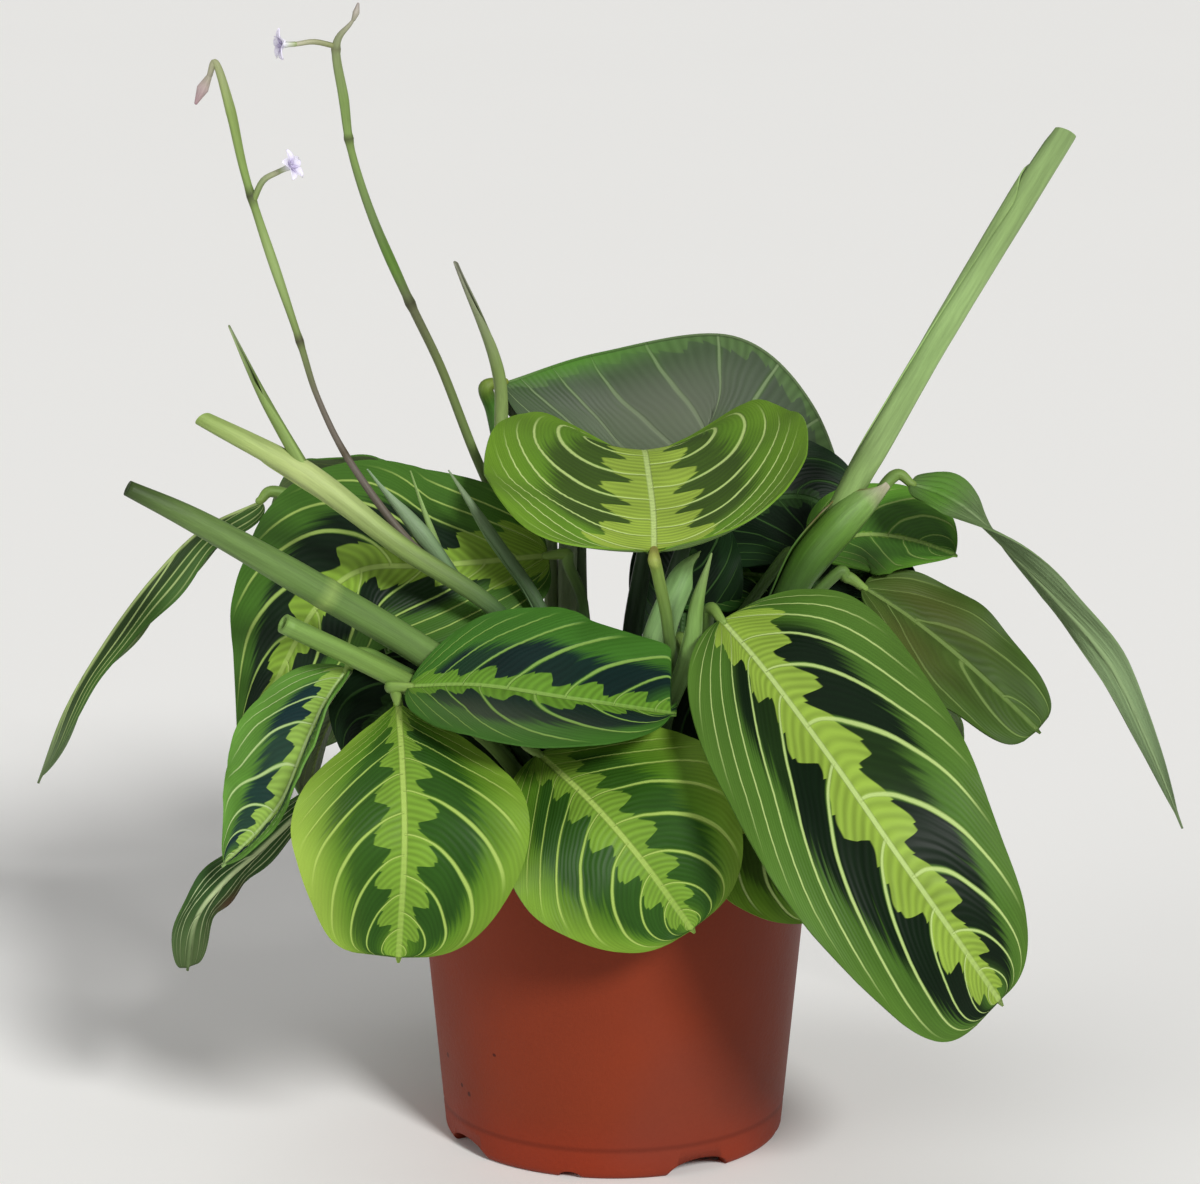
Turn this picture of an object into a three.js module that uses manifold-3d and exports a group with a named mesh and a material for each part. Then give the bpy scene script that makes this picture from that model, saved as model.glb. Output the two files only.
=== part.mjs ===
// A potted prayer plant (Maranta) with lime-green midribs, in a thin terracotta-coloured nursery pot.
// Millimetres, +Z up. The origin is the centre of the pot's base, on the surface that the pot stands on,
// and the side with the round leaves that hang over the rim faces -Y.
import * as THREE from "three";
import { LoftGeometry } from "three/addons/geometries/LoftGeometry.js";
import { mergeVertices } from "three/addons/utils/BufferGeometryUtils.js";
import Module from "manifold-3d";

const wasm = await Module();
wasm.setup();

// Pot: a common 12 cm thermoformed pot.
const POT_HEIGHT = 105;
const POT_RIM_RADIUS = 60;
const POT_FOOT_RADIUS = 49.6;
const POT_WALL = 1.4;
const LIP_HEIGHT = 7;
const LIP_STEP = 1.6;
const LIP_LEDGE = 0.6;
const LIP_EDGE = 0.5;
const FLOOR_BOTTOM = 5;
const FLOOR_THICKNESS = 1.6;
const FLOOR_FILLET = 2;
const FOOT_WIDTH = 5;
const FOOT_DRAFT = 0.8;
const FOOT_CURVE = 2.2;
const FOOT_CURVE_HEIGHT = 3;
const POT_SEGMENTS = 48;
const DRAIN_HOLES = 6;
const DRAIN_RADIUS = 4;
const DRAIN_CIRCLE = 30;
const DRAIN_SIDES = 8;

// Arches in the foot ring: wide and narrow ones in turn, counted in degrees from the front (-Y).
const ARCH_PITCH = 45;
const ARCH_START = 30;
const WIDE_ARCH = { halfWidth: 10, height: 4.6 };
const NARROW_ARCH = { halfWidth: 3.4, height: 2 };
const ARCH_SIDES = 10;

// Soil, with a plain hole for each clump of stems. GAP is the clearance between pieces that touch.
const SOIL_TOP = 93;
const SOIL_MOUND = 3;
const SOIL_LUMP = 0.7;
const SOIL_RINGS = [0.92, 0.72, 0.5, 0.28];
const SOIL_SEGMENTS = 32;
const GAP = 0.35;

// Clumps: the joined leaf bases that stand in the soil.
const CLUMP_RADIUS = 6.5;
const CLUMP_BOTTOM = 80;
const CLUMP_TOP = 99;
const CLUMP_SIDES = 12;
const STEM_START = 95;
const STALK_END_RADIUS = 1.25;
const STALK_GAP = 0.45;
const STALK_END = 3.6;
const STALK_NECK_RADIUS = 1.4;
const STALK_FLARE = 0.5;
const STEM_SIDES = 6;

// Blades.
const BLADE_THICKNESS = 0.8;
const BLADE_ROWS = 12;
const BLADE_COLUMNS = 6;
const RIB_DEPTH = 0.5;
const NECK_HALF_WIDTH = 1.3;
const TIP_HALF_WIDTH = 0.35;
const CUSP_START = 0.965;
const LOBE_REACH = 0.3;
const VEIN_SWEEP = 0.12;
const SIDE_PHASE = 1.9;
const FLAT = 1e-4;

const COLOURS = {
  pot: 0x8e3b28,
  soil: 0x2e231b,
  blade: 0x4c8a2c,
  stem: 0x7fa35a,
  flower: 0xd9d3ea,
};

const material = (colour, roughness) =>
  new THREE.MeshStandardMaterial({ color: colour, roughness, metalness: 0 });
const MATERIALS = {
  pot: material(COLOURS.pot, 0.45),
  soil: material(COLOURS.soil, 0.95),
  blade: material(COLOURS.blade, 0.45),
  stem: material(COLOURS.stem, 0.5),
  flower: material(COLOURS.flower, 0.6),
};

const vector = (p) => new THREE.Vector3(p[0], p[1], p[2]);
const radians = THREE.MathUtils.degToRad;

// A geometry's closed surface as a solid, and a solid's surface as a geometry.
function solidOf(geometry) {
  const bare = new THREE.BufferGeometry().copy(geometry);
  bare.deleteAttribute("normal");
  bare.deleteAttribute("uv");
  const merged = mergeVertices(bare, 1e-3);
  return new wasm.Manifold(
    new wasm.Mesh({
      numProp: 3,
      vertProperties: merged.attributes.position.array,
      triVerts: new Uint32Array(merged.index.array),
    }),
  );
}

function geometryOf(solid) {
  const mesh = solid.getMesh();
  const geometry = new THREE.BufferGeometry();
  geometry.setAttribute("position", new THREE.BufferAttribute(mesh.vertProperties, 3));
  geometry.setIndex(new THREE.BufferAttribute(mesh.triVerts, 1));
  geometry.computeVertexNormals();
  return geometry;
}

// A profile of [radius, height] points turned round the vertical axis.
function turned(profile, segments = POT_SEGMENTS) {
  const points = profile.map(([r, z]) => new THREE.Vector2(r, z));
  return new THREE.LatheGeometry(points, segments).rotateX(Math.PI / 2);
}

function upright(radius, bottom, top, sides, x, y) {
  const cylinder = new THREE.CylinderGeometry(radius, radius, top - bottom, sides);
  return cylinder.rotateX(Math.PI / 2).translate(x, y, (top + bottom) / 2);
}

// Pot: foot ring with arches, raised floor with drain holes, a thin flared wall and a stepped lip.
function potGeometry() {
  const lipBottom = POT_HEIGHT - LIP_HEIGHT;
  const wallTop = POT_RIM_RADIUS - LIP_STEP;
  const floorTop = FLOOR_BOTTOM + FLOOR_THICKNESS;
  const footCurve = [0, 45, 90].map(radians).map((angle) => [
    POT_FOOT_RADIUS - FOOT_CURVE * (1 - Math.sin(angle)),
    FOOT_CURVE_HEIGHT * (1 - Math.cos(angle)),
  ]);
  const body = turned([
    [0, FLOOR_BOTTOM],
    [POT_FOOT_RADIUS - FOOT_WIDTH - FOOT_DRAFT, FLOOR_BOTTOM],
    [POT_FOOT_RADIUS - FOOT_WIDTH, 0],
    ...footCurve,
    [wallTop, lipBottom],
    [POT_RIM_RADIUS, lipBottom + LIP_LEDGE],
    [POT_RIM_RADIUS, POT_HEIGHT - LIP_EDGE],
    [POT_RIM_RADIUS - LIP_EDGE, POT_HEIGHT],
    [POT_RIM_RADIUS - POT_WALL, POT_HEIGHT],
    [POT_RIM_RADIUS - POT_WALL, lipBottom + 2 * LIP_LEDGE],
    [wallTop - POT_WALL, lipBottom],
    [POT_FOOT_RADIUS - POT_WALL, floorTop + FLOOR_FILLET],
    [POT_FOOT_RADIUS - POT_WALL - FLOOR_FILLET, floorTop],
    [0, floorTop],
  ]);
  let pot = solidOf(body);
  for (let i = 0; i < 360 / ARCH_PITCH; i++) {
    const arch = i % 2 === 0 ? WIDE_ARCH : NARROW_ARCH;
    const cutter = new THREE.CylinderGeometry(1, 1, 4 * FOOT_WIDTH, ARCH_SIDES)
      .scale(arch.halfWidth, 1, arch.height)
      .translate(0, -POT_FOOT_RADIUS, 0)
      .rotateZ(radians(ARCH_START - i * ARCH_PITCH));
    pot = pot.subtract(solidOf(cutter));
  }
  for (let i = 0; i < DRAIN_HOLES; i++) {
    const angle = (2 * Math.PI * i) / DRAIN_HOLES;
    const x = DRAIN_CIRCLE * Math.cos(angle);
    const y = DRAIN_CIRCLE * Math.sin(angle);
    pot = pot.subtract(solidOf(upright(DRAIN_RADIUS, 0, 2 * floorTop, DRAIN_SIDES, x, y)));
  }
  return geometryOf(pot);
}

// Soil: it fills the pot to just under the lip, with an uneven, slightly mounded top.
function soilGeometry(clumps) {
  const bottom = FLOOR_BOTTOM + FLOOR_THICKNESS + GAP;
  const lipBottom = POT_HEIGHT - LIP_HEIGHT;
  const innerRadius = (z) => {
    const share = (z - FOOT_CURVE_HEIGHT) / (lipBottom - FOOT_CURVE_HEIGHT);
    const outer = POT_FOOT_RADIUS + share * (POT_RIM_RADIUS - LIP_STEP - POT_FOOT_RADIUS);
    return outer - POT_WALL - 2 * GAP;
  };
  const top = innerRadius(SOIL_TOP);
  const body = turned(
    [
      [0, bottom],
      [innerRadius(bottom) - 2 * FLOOR_FILLET, bottom],
      [innerRadius(bottom + 2 * FLOOR_FILLET) - GAP, bottom + 2 * FLOOR_FILLET],
      [top, SOIL_TOP],
      ...SOIL_RINGS.map((r) => [r * top, SOIL_TOP + SOIL_MOUND * (1 - r * r)]),
      [0, SOIL_TOP + SOIL_MOUND],
    ],
    SOIL_SEGMENTS,
  );
  const places = body.attributes.position;
  for (let i = 0; i < places.count; i++) {
    const x = places.getX(i);
    const y = places.getY(i);
    const z = places.getZ(i);
    if (z > SOIL_TOP - 1) {
      const lump = Math.sin(0.37 * x + 1) * Math.cos(0.33 * y) + 0.6 * Math.sin(0.71 * y - 0.5 * x);
      places.setZ(i, z + SOIL_LUMP * lump);
    }
  }
  let soil = solidOf(body);
  for (const clump of clumps) {
    const [x, y] = clump.base;
    const radius = CLUMP_RADIUS + GAP;
    soil = soil.subtract(
      solidOf(upright(radius, CLUMP_BOTTOM - GAP, POT_HEIGHT, CLUMP_SIDES, x, y)),
    );
  }
  return geometryOf(soil);
}

// A curve through hand-placed points, one span from each point to the next.
const curveThrough = (points) =>
  new THREE.CatmullRomCurve3(points.map(vector), false, "catmullrom", 0.5);

// Where u lies in a list of values at equal steps: the value before it, the value after it and the share.
function spanOf(values, u) {
  const place = Math.min(Math.max(u, 0), 1) * (values.length - 1);
  const index = Math.min(Math.floor(place), values.length - 2);
  return [values[index], values[index + 1], place - index];
}

// A stem, stalk or rolled leaf: rings of the given radii along a curve.
function stemGeometry({ path, radii }) {
  const curve = curveThrough(path);
  const steps = 2 * (path.length - 1);
  const rings = [];
  const across = new THREE.Vector3(0.31, 0.17, 0.93);
  for (let i = 0; i <= steps; i++) {
    const u = i / steps;
    const centre = curve.getPoint(u);
    const tangent = curve.getTangent(u);
    across.addScaledVector(tangent, -across.dot(tangent)).normalize();
    const other = new THREE.Vector3().crossVectors(tangent, across);
    const radius = THREE.MathUtils.lerp(...spanOf(radii, u));
    const ring = [];
    for (let k = 0; k < STEM_SIDES; k++) {
      const angle = (2 * Math.PI * k) / STEM_SIDES;
      ring.push(
        centre
          .clone()
          .addScaledVector(across, radius * Math.cos(angle))
          .addScaledVector(other, radius * Math.sin(angle)),
      );
    }
    rings.push(ring);
  }
  return new LoftGeometry(rings, { capStart: true, capEnd: true });
}

// Half of the blade's width at u: an oval that narrows to a short cusp at the tip.
function halfWidth(leaf, u, side) {
  const power = Math.log(0.5) / Math.log(leaf.peak);
  const bluntness = leaf.shoulder + leaf.taper[side] * u * u;
  const oval = Math.sin(Math.PI * Math.min(u / CUSP_START, 1) ** power) ** bluntness;
  const least = u < 0.5 ? leaf.neck : TIP_HALF_WIDTH + leaf.widths[side] * (1 - u);
  return Math.max(leaf.widths[side] * oval, least);
}

// The middle surface of a blade: u runs from its base to its tip and v from its left margin to its right.
function bladePoint(leaf, u, v) {
  const centre = leaf.curve.getPoint(u);
  const tangent = leaf.curve.getTangent(u);
  const [before, after, share] = spanOf(leaf.facing, u);
  const up = vector(before).lerp(vector(after), share);
  up.addScaledVector(tangent, -up.dot(tangent)).normalize();
  const right = new THREE.Vector3().crossVectors(tangent, up);
  const side = v < 0 ? 0 : 1;
  const reach = Math.abs(v);
  const width = halfWidth(leaf, u, side);
  const fullness = width / leaf.widths[side];
  const fold = radians(leaf.fold[side]);
  const curl = radians(leaf.curl[side]) || FLAT;
  const turn = fold + curl * reach;
  const out = (width * (Math.sin(turn) - Math.sin(fold))) / curl;
  const rise = (width * (Math.cos(fold) - Math.cos(turn))) / curl;
  const [size, count, phase] = leaf.wave;
  const wave = Math.sin(2 * Math.PI * count * (u - VEIN_SWEEP * reach) + phase + SIDE_PHASE * side);
  const lobe = (leaf.lobe * (width - leaf.neck)) / leaf.widths[side];
  const back = lobe * reach * Math.max(0, 1 - u / LOBE_REACH) ** 2;
  return centre
    .addScaledVector(right, v < 0 ? -out : out)
    .addScaledVector(up, rise + size * reach * reach * wave * fullness)
    .addScaledVector(tangent, -back);
}

function bladeNormal(leaf, u, v) {
  const step = 0.01;
  const low = Math.max(u - step, 0);
  const high = Math.min(u + step, 1);
  const lengthways = bladePoint(leaf, high, v).sub(bladePoint(leaf, low, v));
  const left = Math.max(v - step, -1);
  const right = Math.min(v + step, 1);
  const sideways = bladePoint(leaf, u, right).sub(bladePoint(leaf, u, left));
  return sideways.cross(lengthways).normalize();
}

// A blade with one thickness, a raised midrib below, and both faces split into the same triangles. Its two
// narrow end rows take the midrib's normal.
function bladeGeometry(leaf) {
  const { rows, columns } = leaf;
  const across = columns + 1;
  const positions = [];
  const addFace = (offset, ribDepth) => {
    for (let i = 0; i <= rows; i++) {
      const u = 0.5 - 0.5 * Math.cos((Math.PI * i) / rows);
      for (let j = 0; j <= columns; j++) {
        const v = (2 * j) / columns - 1;
        const rib = v === 0 ? ribDepth * (1 - u) : 0;
        const isEnd = i === 0 || i === rows;
        const point = bladePoint(leaf, u, v);
        point.addScaledVector(bladeNormal(leaf, u, isEnd ? 0 : v), offset - rib);
        positions.push(point.x, point.y, point.z);
      }
    }
  };
  addFace(BLADE_THICKNESS / 2, 0);
  addFace(-BLADE_THICKNESS / 2, RIB_DEPTH);
  const lower = (rows + 1) * across;
  const indices = [];
  for (let i = 0; i < rows; i++) {
    for (let j = 0; j < columns; j++) {
      const a = i * across + j;
      const b = a + 1;
      const c = a + across + 1;
      const d = a + across;
      indices.push(a, b, c, a, c, d);
      indices.push(lower + a, lower + c, lower + b, lower + a, lower + d, lower + c);
    }
  }
  const count = (number) => [...Array(number).keys()];
  const rim = [
    ...count(columns),
    ...count(rows).map((i) => i * across + columns),
    ...count(columns).map((j) => (rows + 1) * across - 1 - j),
    ...count(rows).map((i) => (rows - i) * across),
  ];
  rim.forEach((from, k) => {
    const to = rim[(k + 1) % rim.length];
    indices.push(to, from, lower + from, to, lower + from, lower + to);
  });
  const geometry = new THREE.BufferGeometry();
  geometry.setAttribute("position", new THREE.Float32BufferAttribute(positions, 3));
  geometry.setIndex(indices);
  geometry.computeVertexNormals();
  return geometry;
}

// Clumps of joined leaf bases, each with its own stems. A stem's path starts inside its clump.
const CLUMPS = {
  left_front: { base: [-17, -17] },
  front: { base: [7, -24] },
  left: { base: [-24, 4] },
  middle: { base: [-3, 3] },
  right: { base: [21, -3] },
  back_left: { base: [-12, 24] },
  back_right: { base: [15, 22] },
};

// Blades. Each midrib runs from the base of the blade to its tip. "facing" is the way that the upper side
// looks, from base to tip. Fold and curl are degrees, left side then right side, and lift the margins
// where they are above 0. A wave is its height, its count along the margin and its phase. "stalk" is the
// way that the leaf's stalk takes from its clump to the blade.
const LEAF_DEFAULTS = {
  fold: [8, 8],
  curl: [0, 0],
  wave: [1, 3, 0],
  lobe: 3,
  peak: 0.47,
  taper: [0.15, 0.15],
  shoulder: 0.55,
  neck: NECK_HALF_WIDTH,
  thick: 1.7,
  rows: BLADE_ROWS,
  columns: BLADE_COLUMNS,
};
const LEAVES = [
  {
    name: "blade_top_centre",
    midrib: [[11, -45, 183], [11, -22, 189], [10, 5, 194], [9, 32, 196], [8, 54, 189]],
    facing: [[0, -0.3, 1], [0, -0.1, 1]],
    widths: [49, 49],
    fold: [2, 2],
    curl: [42, 42],
    lobe: 13,
    peak: 0.38,
    shoulder: 0.4,
    clump: "front",
    stalk: [[16, -30, 137], [15, -41, 160], [12, -48, 177]],
  },
  {
    name: "blade_back_dome",
    midrib: [
      [-33, 62, 211], [-4, 74, 218], [36, 74, 223], [60, 68, 203], [71, 58, 169], [67, 52, 146],
    ],
    facing: [[0, 0, 1], [0, 0, 1], [1, 0, 0.6], [1, 0, 0]],
    widths: [42, 42],
    fold: [-55, -55],
    curl: [-20, -20],
    lobe: 12,
    clump: "back_left",
    stalk: [[-24, 40, 140], [-33, 58, 187], [-36, 62, 202]],
    thick: 2.2,
  },
  {
    name: "blade_left_large",
    midrib: [
      [-19, -6, 173], [-50, -14, 172], [-72, -16, 171], [-85, -18, 160], [-95, -23, 142], [-110, -29, 115],
    ],
    facing: [[0, -0.85, 0.8], [0, -0.85, 0.8], [-0.5, -0.8, 0.7], [-0.7, -0.8, 0.2]],
    widths: [26, 36],
    fold: [-10, 0],
    clump: "left",
    stalk: [[-10, -2, 140], [-9, -3, 158], [-13, -5, 170]],
    peak: 0.4,
    shoulder: 0.45,
    taper: [0.5, 0.5],
  },
  {
    name: "blade_far_left",
    midrib: [
      [-103, 24, 183], [-120, 16, 176], [-134, 8, 163], [-147, 3, 146], [-159, 0, 126], [-167, -4, 105],
    ],
    facing: [[-0.6, -0.2, 1], [-1, -0.2, 0.6]],
    widths: [9, 11],
    lobe: 1,
    fold: [-60, -60],
    curl: [-10, -10],
    clump: "back_left",
    stalk: [[-40, 28, 140], [-80, 28, 176]],
  },
  {
    name: "blade_left_lower",
    midrib: [
      [-74, -48, 150], [-81, -54, 141], [-85, -58, 131], [-90.5, -62, 114.5], [-98, -64, 107],
      [-109, -62, 97],
    ],
    facing: [[-0.4, -1, 0.6], [-0.6, -1, 0]],
    widths: [12, 22],
    lobe: 1,
    fold: [55, 0],
    clump: "left_front",
    stalk: [[-38, -28, 130], [-62, -40, 149]],
  },
  {
    name: "blade_left_hanging",
    midrib: [[-80, -40, 116], [-99, -44, 98], [-110, -46, 88], [-118, -46, 77], [-121, -44, 61]],
    facing: [[-0.5, 0.8, 0.5], [-0.7, 0.8, 0.2]],
    widths: [10, 12],
    lobe: 1.5,
    taper: [-0.3, -0.3],
    shoulder: 0.5,
    rows: 9,
    clump: "left",
    stalk: [[-45, -16, 124], [-66, -32, 126]],
  },
  {
    name: "blade_front_left",
    midrib: [[-60, -54, 142], [-58, -76, 130], [-57, -90, 110], [-59, -90, 78]],
    facing: [[0, -0.5, 1], [0, -1, 0.1]],
    widths: [34, 31],
    fold: [4, 4],
    curl: [-10, -10],
    peak: 0.6,
    taper: [-0.5, -0.75],
    shoulder: 0.8,
    clump: "left_front",
    stalk: [[-30, -30, 126], [-54, -44, 142]],
  },
  {
    name: "blade_front_centre",
    midrib: [[-57, -52, 146], [-37, -59, 148], [-12, -66, 146], [17, -64, 141]],
    facing: [[0, -0.5, 1], [0, -0.5, 1]],
    widths: [29, 29],
    fold: [10, 12],
    clump: "left_front",
    stalk: [[-28, -24, 128], [-52, -40, 143]],
  },
  {
    name: "blade_front_middle",
    midrib: [[-21, -57, 128], [-7, -72, 119], [7, -81, 105], [22, -82, 84]],
    facing: [[0, -0.6, 1], [0, -1, 0.3]],
    widths: [34, 33],
    fold: [8, -4],
    peak: 0.52,
    taper: [-0.2, -0.2],
    clump: "front",
    stalk: [[-4, -38, 118], [-18, -50, 129]],
  },
  {
    name: "blade_right_large",
    midrib: [[30, -40, 162], [42, -56, 151], [60, -80, 131], [76, -93, 110], [93, -96, 86], [106, -91, 66]],
    facing: [[0, -0.6, 1], [0.1, -1, 0.4]],
    widths: [29, 37],
    fold: [8, 14],
    peak: 0.52,
    taper: [-0.2, -0.35],
    shoulder: 0.6,
    clump: "right",
    stalk: [[24, -18, 130], [26, -33, 158]],
  },
  {
    name: "blade_right_under",
    midrib: [[25, -50, 124], [36, -60, 114.5], [50, -64, 100], [65, -60, 82]],
    facing: [[0, -0.6, 1], [0, -1, 0.3]],
    widths: [24, 24],
    clump: "front",
    stalk: [[14, -32, 115], [20, -44, 123]],
    rows: 9,
  },
  {
    name: "blade_right_olive",
    midrib: [[72, 6, 161], [87, 6, 151], [104, 0, 138], [123, -8, 121]],
    facing: [[0, -0.5, 1], [0, -0.8, 0.7]],
    widths: [17, 19],
    taper: [-0.3, -0.3],
    clump: "right",
    stalk: [[32, 0, 130], [62, 5, 163]],
    rows: 9,
  },
  {
    name: "blade_right_upper",
    midrib: [[58, 22, 169], [73, 26, 172], [87, 24, 171], [100, 16, 168]],
    facing: [[0, -0.6, 1], [0, -0.6, 1]],
    widths: [20, 20],
    clump: "back_right",
    stalk: [[26, 22, 130], [48, 22, 164]],
    rows: 9,
  },
  {
    name: "blade_far_right",
    midrib: [
      [86, 14, 190], [97, 12, 186], [107, 8, 179], [126, 4, 160], [143, 0, 140], [155, -4, 116],
      [165, -6, 92],
    ],
    facing: [[0, -0.6, 1], [0.4, -0.4, 1], [0, 0.8, 1], [-0.4, 1, 0.5], [-0.4, 1, 0.2]],
    widths: [6, 7],
    peak: 0.3,
    taper: [0.2, 0.2],
    lobe: 1,
    clump: "back_right",
    stalk: [[40, 12, 140], [70, 11, 178]],
  },
  {
    name: "blade_back_left",
    midrib: [[-38, 48, 150], [-60, 66, 140], [-80, 84, 118], [-92, 94, 88]],
    facing: [[0, 0.6, 1], [-0.4, 1, 0.3]],
    widths: [31, 31],
    clump: "back_left",
    stalk: [[-20, 30, 125], [-34, 44, 148]],
    rows: 9,
  },
  {
    name: "blade_back_middle",
    midrib: [[-2, 58, 130], [-4, 84, 124], [-8, 105, 104], [-8, 113, 74]],
    facing: [[0, 0.6, 1], [0, 1, 0.3]],
    widths: [34, 34],
    clump: "back_left",
    stalk: [[-8, 38, 118], [-3, 53, 130]],
    rows: 9,
  },
  {
    name: "blade_back_right",
    midrib: [[34, 52, 134], [52, 70, 128], [66, 86, 110], [74, 94, 82]],
    facing: [[0, 0.6, 1], [0.4, 1, 0.3]],
    widths: [31, 31],
    clump: "back_right",
    stalk: [[20, 34, 122], [31, 44, 138]],
    rows: 9,
  },
  {
    name: "blade_back_high",
    midrib: [[-50, 58, 178], [-66, 68, 178], [-84, 78, 168], [-98, 84, 150]],
    facing: [[0, 0.4, 1], [-0.4, 0.8, 0.6]],
    widths: [28, 28],
    clump: "back_left",
    stalk: [[-24, 34, 140], [-44, 54, 174]],
    rows: 9,
  },
  {
    name: "blade_inner_right",
    midrib: [[14, 36, 150], [30, 42, 156], [48, 46, 154], [62, 44, 144]],
    facing: [[0, -0.5, 1], [0.2, -0.5, 1]],
    widths: [12, 20],
    lobe: 1.5,
    clump: "back_right",
    stalk: [[16, 26, 125], [13, 34, 144]],
    rows: 9,
  },
  {
    name: "blade_side_right",
    midrib: [[52, 30, 132], [72, 42, 128], [90, 50, 112], [100, 50, 86]],
    facing: [[0.2, 0.2, 1], [1, 0.5, 0.3]],
    widths: [28, 28],
    clump: "back_right",
    stalk: [[30, 26, 120], [48, 28, 130]],
    rows: 9,
  },
  {
    name: "blade_side_left",
    midrib: [[-48, 14, 140], [-66, 22, 134], [-84, 26, 116], [-92, 26, 90]],
    facing: [[-0.2, 0.2, 1], [-1, 0.3, 0.3]],
    widths: [27, 27],
    clump: "left",
    stalk: [[-34, 8, 124], [-45, 13, 138]],
    rows: 9,
  },
];

// Rolled young leaves, flower stalks, bracts and cut stalks: one with the clump that they rise from.
// A path starts at its clump, or on the stem before it in this list where it is a branch.
const STEMS = [
  {
    // The tall rolled leaf on the right.
    clump: "right",
    path: [
      [32, -4, 125], [51, -2, 159], [68, 5, 190], [76, 6, 204],
      [89.5, 7, 228], [101, 8, 248], [115.5, 8, 273], [128, 8, 294],
    ],
    radii: [2.4, 2.4, 4, 6, 4.7, 3.9, 4.1, 4.4, 3.7],
  },
  {
    // The upper rolled leaf on the left.
    clump: "left_front",
    path: [[-22, -24, 135], [-32, -30, 161], [-60, -34, 182], [-86, -32, 202], [-116, -30, 218]],
    radii: [2, 2.2, 2.6, 3.2, 4, 2.4],
  },
  {
    // Its loose bract.
    clump: "left_front",
    branch: true,
    path: [[-85, -32, 201], [-97, -32, 223], [-107, -30, 244]],
    radii: [2.2, 1.6, 0.4],
  },
  {
    // The thick cut stalk below it.
    clump: "left_front",
    path: [[-34, -26, 130], [-50, -34, 149], [-88, -47, 176], [-115, -56, 194], [-133, -60, 204]],
    radii: [2.2, 3, 4.4, 4.4, 3.4, 2.2],
  },
  {
    // The short cut stalk.
    clump: "left_front",
    path: [[-34, -32, 124], [-56, -45, 144], [-91, -60, 166]],
    radii: [2.2, 2.4, 3, 2.8],
  },
  {
    // The lower flower stalk.
    clump: "left_front",
    path: [
      [-22, -21, 135], [-32, -27, 161], [-55, -31, 180], [-73, -27, 203], [-83, -20, 221],
      [-89, -18, 240], [-102, -12, 279], [-107, -10, 301], [-111, -8, 314], [-113, -8, 310.4],
    ],
    radii: [1.6, 1.6, 1.5, 1.4, 1.1, 1, 1.1, 1.2, 1.5, 1, 0.8],
  },
  {
    // Its side branch.
    clump: "left_front",
    branch: true,
    path: [[-101, -12.4, 276], [-98, -14, 282], [-93.4, -15.8, 284.8]],
    radii: [0.9, 0.9, 0.8],
  },
  {
    // The taller flower stalk.
    clump: "middle",
    path: [
      [-8, 12, 125], [-16, 20, 151], [-30, 28, 173], [-40, 26, 195], [-50, 24, 222], [-59, 22, 242],
      [-69, 20, 266], [-75, 18, 286], [-77, 18, 301], [-79, 18, 316], [-74.4, 18, 323],
    ],
    radii: [1.6, 1.6, 1.6, 1.5, 1.4, 1.3, 1.3, 1.3, 1.1, 1.5, 1.2, 0.5],
  },
  {
    // Its side branch.
    clump: "middle",
    branch: true,
    path: [[-79, 18, 316], [-85, 16, 317.5], [-90, 14.7, 317]],
    radii: [0.8, 0.8, 0.7],
  },
  {
    // A pointed young leaf behind the crown.
    clump: "middle",
    path: [[-20, 24, 140], [-32, 34, 191], [-34, 34, 220], [-46, 34, 252]],
    radii: [1.4, 1.6, 1.8, 1.5, 0.4],
  },
  {
    // A pointed young leaf at the left of the crown.
    clump: "left_front",
    path: [[-18, -19, 130], [-20, -20, 158], [-35, -18, 182], [-47, -16, 200]],
    radii: [1.6, 1.8, 2.2, 2, 0.4],
  },
  {
    // Two pointed sheaths on the upper rolled leaf.
    clump: "left_front",
    branch: true,
    path: [[-46, -28, 172], [-49, -28, 178], [-57, -26, 202]],
    radii: [1.4, 1.5, 0.4],
  },
  {
    clump: "left_front",
    branch: true,
    path: [[-44, -28, 170], [-54, -28.6, 184], [-69, -28, 203]],
    radii: [2, 2.8, 0.5],
  },
  {
    // Two sheaths in front of the crown.
    clump: "front",
    path: [[14, -34, 130], [21, -42, 153], [23, -42, 168], [27, -42, 182]],
    radii: [1.6, 2, 3, 2.2, 0.4],
  },
  {
    clump: "front",
    path: [[9, -26, 130], [12, -24, 152], [19, -18, 169], [25, -14, 176]],
    radii: [2, 3, 5, 4, 0.6],
  },
];

// Blooms, each with a foot and a mouth, and buds.
const BLOOMS = [
  { name: "bloom_1", foot: [-93, -16, 285], mouth: [-90, -17.5, 286.5] },
  { name: "bloom_2", foot: [-90.4, 14.5, 317], mouth: [-94, 13, 317] },
];
const TUBE_RADIUS = 0.7;
const THROAT_RADIUS = 1.3;
const NOTCH_RADIUS = 1.7;
const COLUMN_RADIUS = 0.45;
const COLUMN_HEIGHT = 1.2;
const BLOOM_SIDES = 30;
const PETALS = 5;
const PETAL_RADIUS = 4.6;
const PETAL_THICKNESS = 0.7;
const PETAL_SLOPE = 0.5;
const PETAL_POINT = 0.9;
const BUDS = [
  {
    name: "bud_1",
    path: [[-113.16, -8, 310.1], [-114.9, -8, 306.9], [-116.8, -8, 303]],
    radii: [0.9, 1.7, 0.5],
  },
  {
    name: "bud_2",
    path: [[-74, 18, 323.6], [-73.2, 18, 325.6], [-72.6, 18, 328]],
    radii: [0.6, 1, 0.4],
  },
];

const group = new THREE.Group();
group.name = "potted_prayer_plant";
function add(name, geometry, finish) {
  const mesh = new THREE.Mesh(geometry, MATERIALS[finish]);
  mesh.name = name;
  group.add(mesh);
}

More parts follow.
